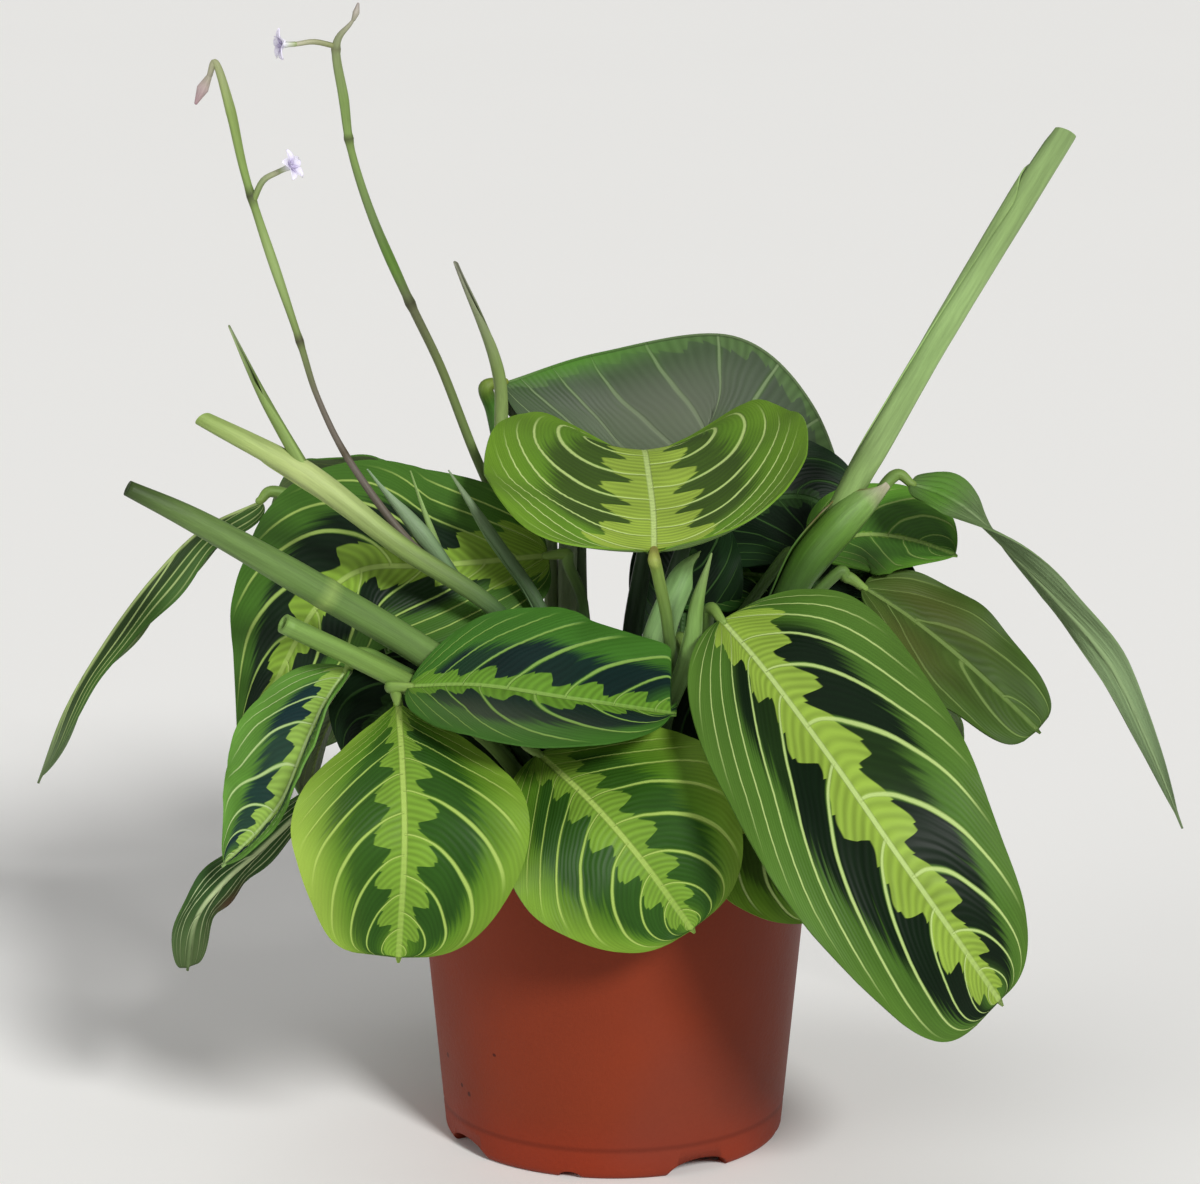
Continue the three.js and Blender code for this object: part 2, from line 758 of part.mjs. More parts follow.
// The leaf's stalk: from its clump, along its way, to just behind the base of the blade.
function stalkOf(leaf) {
  const [x, y] = CLUMPS[leaf.clump].base;
  const base = vector(leaf.midrib[0]);
  const forward = leaf.curve.getTangent(0);
  const end = base.clone().addScaledVector(forward, -STALK_GAP);
  const before = base.clone().addScaledVector(forward, -STALK_END).toArray();
  return {
    path: [[x, y, STEM_START], ...leaf.stalk, before, end.toArray()],
    radii: [
      leaf.thick + STALK_FLARE,
      ...leaf.stalk.map(() => leaf.thick),
      STALK_NECK_RADIUS,
      STALK_END_RADIUS,
    ],
  };
}

function clumpGeometry(name, clump, leaves) {
  const [x, y] = clump.base;
  const root = upright(CLUMP_RADIUS, CLUMP_BOTTOM, CLUMP_TOP, CLUMP_SIDES, x, y);
  const rising = STEMS.map((stem) =>
    stem.branch ? stem : { ...stem, path: [[x, y, STEM_START], ...stem.path] },
  );
  const stems = [
    ...leaves.filter((leaf) => leaf.clump === name).map(stalkOf),
    ...rising.filter((stem) => stem.clump === name),
  ];
  let whole = solidOf(root);
  for (const stem of stems) {
    whole = whole.add(solidOf(stemGeometry(stem)));
  }
  return geometryOf(whole);
}

// A bloom in one body: a short tube that opens into a star of petals, with a small column in its throat.
function bloomGeometry({ foot, mouth }) {
  const start = vector(foot);
  const axis = vector(mouth).sub(start);
  const length = axis.length();
  axis.normalize();
  const side = new THREE.Vector3(0, 0, 1).cross(axis).normalize();
  const petal = (angle) => {
    const share = Math.abs(Math.cos((PETALS * angle) / 2)) ** PETAL_POINT;
    return NOTCH_RADIUS + (PETAL_RADIUS - NOTCH_RADIUS) * share;
  };
  const flare = (radius) => length + PETAL_SLOPE * (radius - THROAT_RADIUS);
  const ring = (radiusAt, heightAt) =>
    Array.from({ length: BLOOM_SIDES }, (_, i) => {
      const angle = (2 * Math.PI * i) / BLOOM_SIDES;
      const radius = radiusAt(angle);
      return start
        .clone()
        .addScaledVector(axis, heightAt(radius))
        .addScaledVector(side.clone().applyAxisAngle(axis, angle), radius);
    });
  const rings = [
    ring(() => TUBE_RADIUS, () => 0),
    ring(() => THROAT_RADIUS, () => length),
    ring(petal, flare),
    ring(petal, (radius) => flare(radius) + PETAL_THICKNESS),
    ring(() => TUBE_RADIUS, () => length),
    ring(() => COLUMN_RADIUS, () => length + COLUMN_HEIGHT),
  ];
  return new LoftGeometry(rings, { capStart: true, capEnd: true });
}

const leaves = LEAVES.map((entry) => ({
  ...LEAF_DEFAULTS,
  ...entry,
  curve: curveThrough(entry.midrib),
}));
add("pot", potGeometry(), "pot");
add("soil", soilGeometry(Object.values(CLUMPS)), "soil");
for (const [name, clump] of Object.entries(CLUMPS)) {
  add("stems_" + name, clumpGeometry(name, clump, leaves), "stem");
}
for (const leaf of leaves) {
  add(leaf.name, bladeGeometry(leaf), "blade");
}
for (const bloom of BLOOMS) {
  add(bloom.name, bloomGeometry(bloom), "flower");
}
for (const bud of BUDS) {
  add(bud.name, stemGeometry(bud), "flower");
}

export default group;
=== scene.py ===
"""A potted prayer plant with lime midribs and dark patches, in a thin terracotta-coloured pot.

Every operator builds one piece, or a group of like pieces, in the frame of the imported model: metres, +Z
up, the origin at the centre of the pot's base and the leaves that hang over the rim towards -Y. The
tables of paths, widths and radii are in millimetres.
"""
import math
import random

import bmesh
import bpy
from bpy.props import FloatProperty, FloatVectorProperty, IntProperty, PointerProperty
from mathutils import Matrix, Vector, noise


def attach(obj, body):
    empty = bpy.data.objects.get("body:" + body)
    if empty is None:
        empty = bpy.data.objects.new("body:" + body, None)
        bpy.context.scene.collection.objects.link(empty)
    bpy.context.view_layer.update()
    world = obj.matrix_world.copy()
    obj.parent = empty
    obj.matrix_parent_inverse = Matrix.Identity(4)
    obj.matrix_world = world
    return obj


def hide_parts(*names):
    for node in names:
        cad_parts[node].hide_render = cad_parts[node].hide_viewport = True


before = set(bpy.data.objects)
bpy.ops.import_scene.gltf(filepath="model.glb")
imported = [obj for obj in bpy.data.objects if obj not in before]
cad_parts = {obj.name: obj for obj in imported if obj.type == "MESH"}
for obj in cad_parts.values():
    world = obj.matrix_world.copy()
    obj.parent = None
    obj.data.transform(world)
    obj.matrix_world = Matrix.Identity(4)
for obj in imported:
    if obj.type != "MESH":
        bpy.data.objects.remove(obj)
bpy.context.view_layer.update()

bl_info = {
    "name": "Potted Prayer Plant",
    "version": (1, 0, 0),
    "blender": (4, 5, 0),
    "location": "View3D > Sidebar > Prayer Plant",
    "description": "Builds a potted prayer plant from its pot to its flowers",
    "category": "Add Mesh",
}

MM = 0.001
BODY = "root"


def linear(code):
    """A colour written as six hex digits, in linear light."""
    parts = [int(code[i : i + 2], 16) / 255 for i in (0, 2, 4)]
    return tuple(c / 12.92 if c <= 0.04045 else ((c + 0.055) / 1.055) ** 2.4 for c in parts)


# Looks of the leaves: the band along the midrib, the tissue between veins, the patches, the
# veins, the margin and the underside, with the strength of the patches and of the margin and the half
# width of the band.
LOOKS = {
    "fresh": dict(
        lime="64852a", green="456a18", dark="1b3d10", vein="98b056", rim="6d8c2c", under="5f7a40",
        patch=0.85, edge=0.8, band=0.2,
    ),
    "pale": dict(
        lime="8ca43e", green="5a8024", dark="35491a", vein="b4c87c", rim="688828", under="627c44",
        patch=0.9, edge=0.5, band=0.22,
    ),
    "lush": dict(
        lime="7c9637", green="3e5f1f", dark="081808", vein="a6bb72", rim="4d6c27", under="5a7446",
        patch=1.0, edge=0.6, band=0.215,
    ),
    "deep": dict(
        lime="587f26", green="35601e", dark="0e211e", vein="7c9c4a", rim="3a6420", under="52693f",
        patch=1.0, edge=0.3, band=0.18,
    ),
    "olive": dict(
        lime="708e30", green="3b5f1e", dark="0f1f10", vein="93ab58", rim="36581e", under="586a42",
        patch=1.0, edge=0.4, band=0.2,
    ),
    "bronze": dict(
        lime="7c9a42", green="4a7328", dark="12292a", vein="a6bd7e", rim="5f8a38", under="586b46",
        patch=1.0, edge=0.5, band=0.22,
    ),
    # Partly the leaf's own dull green and partly painted sheen: its greys stand in for the light that a
    # glancing face mirrors.
    "dusky_painted_sheen": dict(
        lime="475e36", green="374b2b", dark="3b4636", vein="6c7f58", rim="324c26", under="566646",
        patch=0.8, edge=0.4, band=0.1,
    ),
    "plain": dict(
        lime="465f24", green="3c5520", dark="33431e", vein="6a8144", rim="384f1e", under="536642",
        patch=0.3, edge=0.3, band=0.05,
    ),
    "greyed": dict(
        lime="647850", green="566a42", dark="465838", vein="82956a", rim="4e633a", under="607353",
        patch=0.4, edge=0.3, band=0.06,
    ),
    "striped": dict(
        lime="5c7a34", green="33501f", dark="1c2614", vein="93a468", rim="3c5c24", under="4f6540",
        patch=0.7, edge=0.5, band=0.05,
    ),
    "trailing": dict(
        lime="5c7a34", green="33501f", dark="1c2614", vein="b0c08e", rim="3c5c24", under="2f4c24",
        patch=0.7, edge=0.5, band=0.05,
    ),
    "soft": dict(
        lime="5c8229", green="4d7d28", dark="233a1a", vein="86a056", rim="548028", under="50663c",
        patch=0.5, edge=0.8, band=0.05,
    ),
    "shade": dict(
        lime="4a7226", green="2b4f1e", dark="0f1d11", vein="73934e", rim="27481e", under="4a613e",
        patch=0.9, edge=0.3, band=0.16,
    ),
    # Painted deep shade: near-black colours for young leaves that fill the dark gaps in the crown.
    "painted_deep_shade": dict(
        lime="223a18", green="152b13", dark="0a150c", vein="365328", rim="122613", under="20341a",
        patch=0.8, edge=0.2, band=0.14,
    ),
}

CLUMPS = {
    "left_front": (-17, -17),
    "front": (7, -24),
    "left": (-24, 4),
    "middle": (-3, 3),
    "right": (21, -3),
    "back_left": (-12, 24),
    "back_right": (15, 22),
}
STEM_START = 95

# Leaves. A midrib runs from the base of the blade to its tip, and "facing" is the way that the upper side
# looks on the way. Fold and curl are degrees, left side then right side. A wave is its height, its count
# and its phase. A wash is (u, v, reach in u, reach in v, colour, strength): a soft patch of another colour
# at that place. A waist is (u, reach, share of the width that it takes), and a bulge has a negative share.
# Sweep is how far a vein runs to the tip on its way to the margin, bend how much later it turns there than
# on a plain leaf, and bold its share of width.
# A stalk's colours run from its clump to its blade, and the dark ones at the foot are painted shade deep in
# the crown.
LEAF_DEFAULTS = dict(
    fold=(8, 8), curl=(0, 0), wave=(1, 3, 0), waist=(0.5, 0.1, 0), lobe=3,
    peak=(0.47, 0.47), taper=(0.15, 0.15), shoulder=0.55, thick=1.7, rows=84, columns=36,
    look="shade", veins=7, sweep=(0.44, 0.44), bend=(0, 0), bold=1, washes=(),
    stalk_colours=("1d2d18", "365026", "5f7c3a", "738d43"),
)
LEAVES = (
    dict(
        name="blade_top_centre",
        midrib=((11, -45, 183), (11, -22, 189), (10, 5, 194), (9, 32, 196), (8, 54, 189)),
        facing=((0, -0.3, 1), (0, -0.1, 1)),
        widths=(49, 49), fold=(2, 2), curl=((18, 20, 34, 44), 42), lobe=13, peak=(0.38, 0.38), shoulder=0.4,
        clump="front", stalk=((16, -30, 137), (15, -41, 160), (12, -48, 177)),
        rows=100, columns=52, look="pale", veins=8, sweep=(0.52, 0.52), bend=(0.8, 0.8), bold=1.1,
        stalk_colours=("26391e", "526f36", "7b9246", "8c813b"),
    ),
    dict(
        name="blade_back_dome",
        midrib=((-33, 62, 211), (-4, 74, 218), (36, 74, 223), (60, 68, 203), (71, 58, 169), (67, 52, 146)),
        facing=((0, 0, 1), (0, 0, 1), (1, 0, 0.6), (1, 0, 0)),
        widths=(42, 42), fold=(-55, -55), curl=(-20, -20), lobe=12,
        clump="back_left", stalk=((-24, 40, 140), (-33, 58, 187), (-36, 62, 202)), thick=2.2,
        rows=110, columns=48, look="dusky_painted_sheen", veins=11, sweep=(0.12, 0.12),
        stalk_colours=("1d2d18", "365923", "3d6423", "7b8637"),
        # The grey washes on the two halves are painted sheen, and the darker wash at the tip is painted
        # shade.
        washes=(
            (0.15, 0.0, 0.16, 0.2, "44781c", 0.85), (0.3, 0.7, 0.2, 0.45, "6e7364", 0.6),
            (0.3, -0.7, 0.2, 0.45, "6e7364", 0.6), (0.95, 0.0, 0.3, 1.0, "3f5a2e", 0.5),
        ),
    ),
    dict(
        name="blade_left_large",
        midrib=(
            (-19, -6, 173), (-50, -14, 172), (-72, -16, 171), (-85, -18, 160), (-95, -23, 142),
            (-108, -29, 117),
        ),
        facing=((0, -0.85, 0.8), (0, -0.85, 0.8), (-0.5, -0.8, 0.7), (-0.7, -0.8, 0.2)),
        widths=(26, 36), fold=(-10, 0), peak=(0.4, 0.4), shoulder=0.45, taper=(0.5, 0.5),
        clump="left", stalk=((-10, -2, 140), (-9, -3, 158), (-13, -5, 170)),
        rows=110, columns=40, look="olive",
    ),
    dict(
        name="blade_far_left",
        midrib=(
            (-103, 24, 183), (-120, 16, 176), (-134, 8, 163), (-147, 3, 146), (-159, 0, 126),
            (-167, -4, 105),
        ),
        facing=((-0.6, -0.2, 1), (-1, -0.2, 0.6)),
        widths=(9, 11), lobe=1, fold=(-60, -60), curl=(-10, -10), shoulder=0.32, taper=(0.35, 0.35),
        clump="back_left", stalk=((-40, 28, 140), (-80, 28, 176)),
        look="striped", veins=3, sweep=(1.3, 1.3), waist=(0.7, 0.13, 0.45), bold=2.2,
        washes=((0.97, 0.0, 0.14, 2.0, "5f7050", 0.8), (0.4, 0.8, 0.14, 0.3, "7d9440", 0.6)),
    ),
    dict(
        name="blade_left_lower",
        midrib=(
            (-74, -48, 150), (-80.5, -54, 141), (-85.5, -58, 130.5), (-91.5, -62, 116.5), (-99, -64, 107),
            (-109, -62, 97),
        ),
        facing=((-0.4, -1, 0.6), (-0.6, -1, 0)),
        widths=(12, 22), lobe=1, fold=(55, 0),
        clump="left_front", stalk=((-38, -28, 130), (-62, -40, 149)),
        look="bronze", veins=7.2, sweep=(0.5, 0.44), bend=(0, 0.7), bold=1.05,
    ),
    dict(
        name="blade_left_hanging",
        midrib=((-80, -40, 116), (-99, -44, 98), (-110, -46, 88), (-118, -46, 77), (-121, -44, 61)),
        facing=((-0.5, 0.8, 0.5), (-0.7, 0.8, 0.2)),
        widths=(7.5, 9), lobe=1.5, taper=(-0.3, -0.3), shoulder=0.5,
        clump="left", stalk=((-45, -16, 124), (-66, -32, 126)),
        look="trailing", veins=3, sweep=(1.3, 1.3), bold=2.8,
        washes=((0.95, 0.0, 0.2, 2.0, "4c5e38", 0.9), (0.6, 0.9, 0.12, 0.3, "4a3527", 0.95)),
    ),
    dict(
        name="blade_front_left",
        midrib=((-60, -54, 142), (-58, -76, 130), (-57, -90, 110), (-59, -90, 78)),
        facing=((0, -0.5, 1), (0, -1, 0.1)),
        widths=(34, 31), fold=(4, 4), curl=(-10, -10), peak=(0.6, 0.6), taper=(-0.45, -0.6), shoulder=0.8,
        clump="left_front", stalk=((-30, -30, 126), (-54, -44, 142)),
        look="fresh", veins=8.6, sweep=(0.36, 0.48), washes=((0.72, 1.0, 0.3, 0.3, "9cb44c", 0.6),),
    ),
    dict(
        name="blade_front_centre",
        midrib=((-57, -52, 146), (-37, -59, 148), (-12, -66, 146), (17, -64, 141)),
        facing=((0, -0.5, 1), (0, -0.5, 1)),
        widths=(31, 29), fold=(10, 12), taper=(-0.5, 0.1), peak=(0.52, 0.52), wave=(0.4, 3, 0),
        clump="left_front", stalk=((-28, -24, 128), (-52, -40, 143)),
        # The greyish wash on this blade is painted sheen.
        look="deep", veins=6.6, washes=((0.4, 0.6, 0.35, 0.35, "585f48", 0.35),),
    ),
    dict(
        name="blade_front_middle",
        midrib=((-21, -57, 128), (-7, -72, 119), (7, -81, 105), (22, -82, 84)),
        facing=((0, -0.6, 1), (0, -1, 0.3)),
        widths=(34, 33), fold=(8, -4), peak=(0.52, 0.52), taper=(-0.2, -0.2),
        clump="front", stalk=((-4, -38, 118), (-18, -50, 129)),
        look="fresh", veins=8, sweep=(0.4, 0.5),
    ),
    dict(
        name="blade_right_large",
        midrib=(
            (30, -40, 162), (42, -56, 151), (60, -80, 131), (76, -93, 110), (93, -96, 86),
            (106, -91, 66),
        ),
        facing=((0, -0.6, 1), (0.1, -1, 0.4)),
        widths=(36, 37), fold=(8, 14), peak=(0.3, 0.52), taper=(-0.2, -0.35), shoulder=0.6,
        clump="right", stalk=((24, -18, 130), (26, -33, 158)),
        rows=120, columns=44, look="lush", veins=8.2, sweep=(0.38, 0.58), bend=(0.5, 0),
    ),
    dict(
        name="blade_right_under",
        midrib=((25, -50, 124), (36, -60, 114.5), (50, -64, 100), (65, -60, 82)),
        facing=((0, -0.6, 1), (0, -1, 0.3)),
        widths=(24, 24),
        clump="front", stalk=((14, -32, 115), (20, -44, 123)),
        look="pale",
    ),
    dict(
        name="blade_right_olive",
        midrib=((72, 6, 161), (87, 6, 151), (104, 0, 138), (123, -8, 121)),
        facing=((0, -0.5, 1), (0, -0.8, 0.7)),
        widths=(17, 19), taper=(-0.3, -0.3),
        clump="right", stalk=((32, 0, 130), (62, 5, 163)),
        look="plain", veins=2.6, sweep=(0.8, 0.8),
        washes=((0.35, 0.5, 0.3, 0.4, "4e4c24", 0.5), (0.35, -0.5, 0.3, 0.4, "4e4c24", 0.5)),
    ),
    dict(
        name="blade_right_upper",
        midrib=((58, 22, 169), (73, 26, 172), (87, 24, 171), (100, 16, 168)),
        facing=((0, -0.6, 1), (0, -0.6, 1)),
        widths=(20, 20),
        clump="back_right", stalk=((26, 22, 130), (48, 22, 164)),
        # The dark wash on this blade's lower half is painted shadow.
        look="soft", veins=6, wave=(0.4, 2, 1), washes=((0.35, 0.75, 0.35, 0.5, "1d2617", 0.75),),
    ),
    dict(
        name="blade_far_right",
        midrib=(
            (86, 14, 190), (97, 12, 186), (107, 8, 179), (126, 4, 160), (143, 0, 140), (155, -4, 116),
            (165, -6, 92),
        ),
        facing=((0, -0.6, 1), (0.4, -0.4, 1), (0, 0.8, 1), (-0.4, 1, 0.5), (-0.4, 1, 0.2)),
        widths=(6.5, 7.5), peak=(0.3, 0.3), taper=(0.2, 0.2), lobe=1, waist=(0.12, 0.1, -0.6),
        # The pale grey-green wash from the middle to the tip is painted light, which lifts a face that lies
        # in shade.
        washes=((0.12, 0.0, 0.12, 2.0, "4a7a1c", 0.85), (0.62, 0.0, 0.3, 2.0, "7f9668", 0.7)),
        clump="back_right", stalk=((40, 12, 140), (70, 11, 178)),
        look="greyed", veins=3.5, sweep=(1.2, 1.2),
    ),
    dict(
        name="blade_back_left",
        midrib=((-38, 48, 150), (-60, 66, 140), (-80, 84, 118), (-92, 94, 88)),
        facing=((0, 0.6, 1), (-0.4, 1, 0.3)),
        widths=(31, 31),
        clump="back_left", stalk=((-20, 30, 125), (-34, 44, 148)),
        look="lush",
    ),
    dict(
        name="blade_back_middle",
        midrib=((-2, 58, 130), (-4, 84, 124), (-8, 105, 104), (-8, 113, 74)),
        facing=((0, 0.6, 1), (0, 1, 0.3)),
        widths=(34, 34),
        clump="back_left", stalk=((-8, 38, 118), (-3, 53, 130)),
        look="fresh",
    ),
    dict(
        name="blade_back_right",
        midrib=((34, 52, 134), (52, 70, 128), (66, 86, 110), (74, 94, 82)),
        facing=((0, 0.6, 1), (0.4, 1, 0.3)),
        widths=(31, 31),
        clump="back_right", stalk=((20, 34, 122), (31, 44, 138)),
        look="deep",
    ),
    dict(
        name="blade_back_high",
        midrib=((-50, 58, 178), (-66, 68, 178), (-84, 78, 168), (-98, 84, 150)),
        facing=((0, 0.4, 1), (-0.4, 0.8, 0.6)),
        widths=(28, 28),
        clump="back_left", stalk=((-24, 34, 140), (-44, 54, 174)),
        look="olive",
    ),
    dict(
        name="blade_inner_right",
        midrib=((14, 36, 150), (30, 42, 156), (48, 46, 154), (62, 44, 144)),
        facing=((0, -0.5, 1), (0.2, -0.5, 1)),
        widths=(12, 20), lobe=1.5,
        clump="back_right", stalk=((16, 26, 125), (13, 34, 144)),
        look="shade",
    ),
    dict(
        name="blade_side_right",
        midrib=((52, 30, 132), (72, 42, 128), (90, 50, 112), (100, 50, 86)),
        facing=((0.2, 0.2, 1), (1, 0.5, 0.3)),
        widths=(28, 28),
        clump="back_right", stalk=((30, 26, 120), (48, 28, 130)),
        look="lush",
    ),
    dict(
        name="blade_side_left",
        midrib=((-48, 14, 140), (-66, 22, 134), (-84, 26, 116), (-92, 26, 90)),
        facing=((-0.2, 0.2, 1), (-1, 0.3, 0.3)),
        widths=(27, 27),
        clump="left", stalk=((-34, 8, 124), (-45, 13, 138)),
        look="deep",
    ),
)

# Young leaves low in the crown, in its shade, which fill the space between the stalks; their near-black
# colour is painted shade. They stand for no node of the CAD model.
YOUNG_LEAVES = (
    dict(
        name="young_blade_right",
        midrib=((24, 40, 164), (40, 46, 176), (58, 50, 178), (74, 50, 166)),
        facing=((0, -0.8, 0.6), (0, -0.8, 0.6)), widths=(20, 24),
        clump="back_right", stalk=((15, 27, 128), (20, 34, 150)), look="painted_deep_shade",
    ),
    dict(
        name="young_blade_front",
        midrib=((21, -14, 146), (26, -22, 136), (32, -28, 116), (34, -31, 98)),
        facing=((0, -1, 0.3), (0, -1, 0.2)), widths=(19, 19),
        clump="right", stalk=((21, -6, 120), (20, -9, 138)), look="painted_deep_shade",
    ),
    dict(
        name="young_blade_left",
        midrib=((-36, -14, 150), (-50, -18, 142), (-66, -20, 130), (-76, -20, 114)),
        facing=((-0.2, -0.9, 0.5), (-0.3, -1, 0.2)), widths=(19, 20),
        clump="left", stalk=((-28, -4, 124), (-32, -9, 142)), look="painted_deep_shade",
    ),
    dict(
        name="young_blade_middle",
        midrib=((20, 26, 134), (21, 31, 150), (22, 35, 168), (24, 37, 186)),
        facing=((0, -1, 0.2), (0, -1, 0.2)), widths=(17, 17),
        clump="back_right", stalk=((17, 23, 118), (19, 25, 128)), look="painted_deep_shade",
    ),
    dict(
        name="young_blade_under",
        midrib=((46, 25, 150), (60, 26, 158), (75, 24, 162), (89, 20, 162)),
        facing=((0, -1, 0.3), (0, -1, 0.3)), widths=(11, 11),
        clump="back_right", stalk=((26, 24, 128), (36, 25, 143)), look="painted_deep_shade",
    ),
)

# Stems without a blade. Radii and colours are at equal steps along the path, and the dark colours at the
# foot of a rooted stem are painted shade deep in the crown. A ring is (u, half length in u, swelling,
# colour). A rooted stem starts in its clump.
STEM_DEFAULTS = dict(rooted=True, ends=("flat", "round"), rings=())
STEMS = (
    dict(
        name="thick_cut_stalk", clump="left_front",
        path=((-34, -26, 130), (-50, -34, 149), (-88, -47, 176), (-115, -56, 194), (-133, -60, 204)),
        radii=(2.2, 3, 4.4, 4.4, 3.4, 2.2),
        colours=("26391e", "576f35", "627e42", "5e793f", "5a723c", "34451f"),
        ends=("flat", "cut"),
        rings=((0.4, 0.006, 1.1, "7f9a52"), (0.56, 0.006, 1.06, "869e55"), (0.38, 0.012, 1.0, "69512f")),
    ),
    dict(
        name="short_cut_stalk", clump="left_front",
        path=((-34, -32, 124), (-56, -45, 144), (-91, -60, 166)),
        radii=(2.2, 2.4, 3, 2.8), colours=("26391e", "64803e", "6f8c42", "6a8843"),
        ends=("flat", "hollow"),
    ),
    dict(
        name="lower_flower_stalk", clump="left_front",
        path=(
            (-22, -21, 135), (-32, -27, 161), (-55, -31, 180), (-73, -27, 203), (-83, -20, 221),
            (-89, -18, 240), (-102, -12, 279), (-107, -10, 301), (-111, -8, 314), (-113, -8, 310.4),
        ),
        radii=(1.6, 1.6, 1.5, 1.3, 1, 0.85, 1, 1.1, 1.5, 1, 0.8),
        colours=(
            "1b2b1a", "344c2d", "4f5a3e", "5c5648", "605850", "635c50", "6b7c45", "6d8344", "77894c",
            "8c916a", "918c7b",
        ),
        rings=(
            (0.59, 0.006, 1.25, "413e2d"), (0.695, 0.006, 1.25, "373923"), (0.42, 0.01, 1.1, "4d4536"),
            (0.648, 0.028, 1.35, "82965a"),
        ),
    ),
    dict(
        name="lower_flower_branch", clump="left_front", rooted=False,
        path=((-101, -12.4, 276), (-98, -14, 282), (-93.4, -15.8, 284.8)),
        radii=(0.9, 0.9, 0.8), colours=("6d8040", "7e8a62", "9b9d7e"),
    ),
    dict(
        name="taller_flower_stalk", clump="middle",
        path=(
            (-8, 12, 125), (-16, 20, 151), (-30, 28, 173), (-40, 26, 195), (-50, 24, 222), (-59, 22, 242),
            (-69, 20, 266), (-75, 18, 286), (-77, 18, 301), (-79, 18, 316), (-74.4, 18, 323),
        ),
        radii=(1.6, 1.6, 1.6, 1.5, 1.4, 1.3, 1.3, 1.3, 1.1, 1.5, 1.2, 0.5),
        colours=(
            "1b2b1a", "263c20", "3e572e", "4f6838", "627640", "606c3f", "5c5d46", "657948", "6b8046",
            "6f8449", "77805a", "8d8b78",
        ),
        rings=(
            (0.59, 0.03, 1.15, "56752f"), (0.545, 0.005, 1.25, "40402d"), (0.745, 0.005, 1.3, "3a3b26"),
            (0.905, 0.006, 1.2, "65684a"),
        ),
    ),
    dict(
        name="taller_flower_branch", clump="middle", rooted=False,
        path=((-79, 18, 316), (-85, 16, 317.5), (-90, 14.7, 317)),
        radii=(0.8, 0.8, 0.7), colours=("787f52", "909170", "a8a78d"),
    ),
)

# Young shoots that stand close together in the middle of the crown, tapering to a point. Their dark
# lower colours, and the near-black colours of the last two, are painted shade deep in the crown.
SHOOTS = (
    dict(
        clump="middle", path=((-12, 9, 125), (-13.5, 11, 155), (-13, 15, 178), (-12, 20, 190)),
        radii=(2.6, 2.8, 2.9, 2.6, 0.4), colours=("2b3a22", "5a6b48", "7e8e68", "8a9a7c", "76885c"),
    ),
    dict(
        clump="middle", path=((-17, 9, 125), (-18, 12, 155), (-18.5, 16, 176), (-19, 20, 188)),
        radii=(2.2, 2.3, 2.2, 2, 0.4), colours=("2b3a22", "5a6e46", "78895e", "82946c", "76885c"),
    ),
    dict(
        clump="middle", path=((-8.5, 10, 125), (-9.6, 13, 155), (-9.6, 17, 178), (-9, 22, 188)),
        radii=(1.8, 2, 2, 1.6, 0.4), colours=("1d2a18", "33432a", "4a5a3c", "57684a", "4f693a"),
    ),
    dict(
        clump="middle", path=((3, 5, 125), (6, 8, 152), (10, 12, 174), (14, 18, 188)),
        radii=(3, 3, 2.9, 2.4, 0.4), colours=("132015", "182a16", "21351d", "2c4323", "365026"),
    ),
    dict(
        clump="middle", path=((10, 4, 125), (14, 6, 150), (20, 8, 172), (27, 12, 184)),
        radii=(3, 3.2, 3, 2.2, 0.4), colours=("132015", "182a16", "1f321b", "283e20", "365026"),
    ),
)
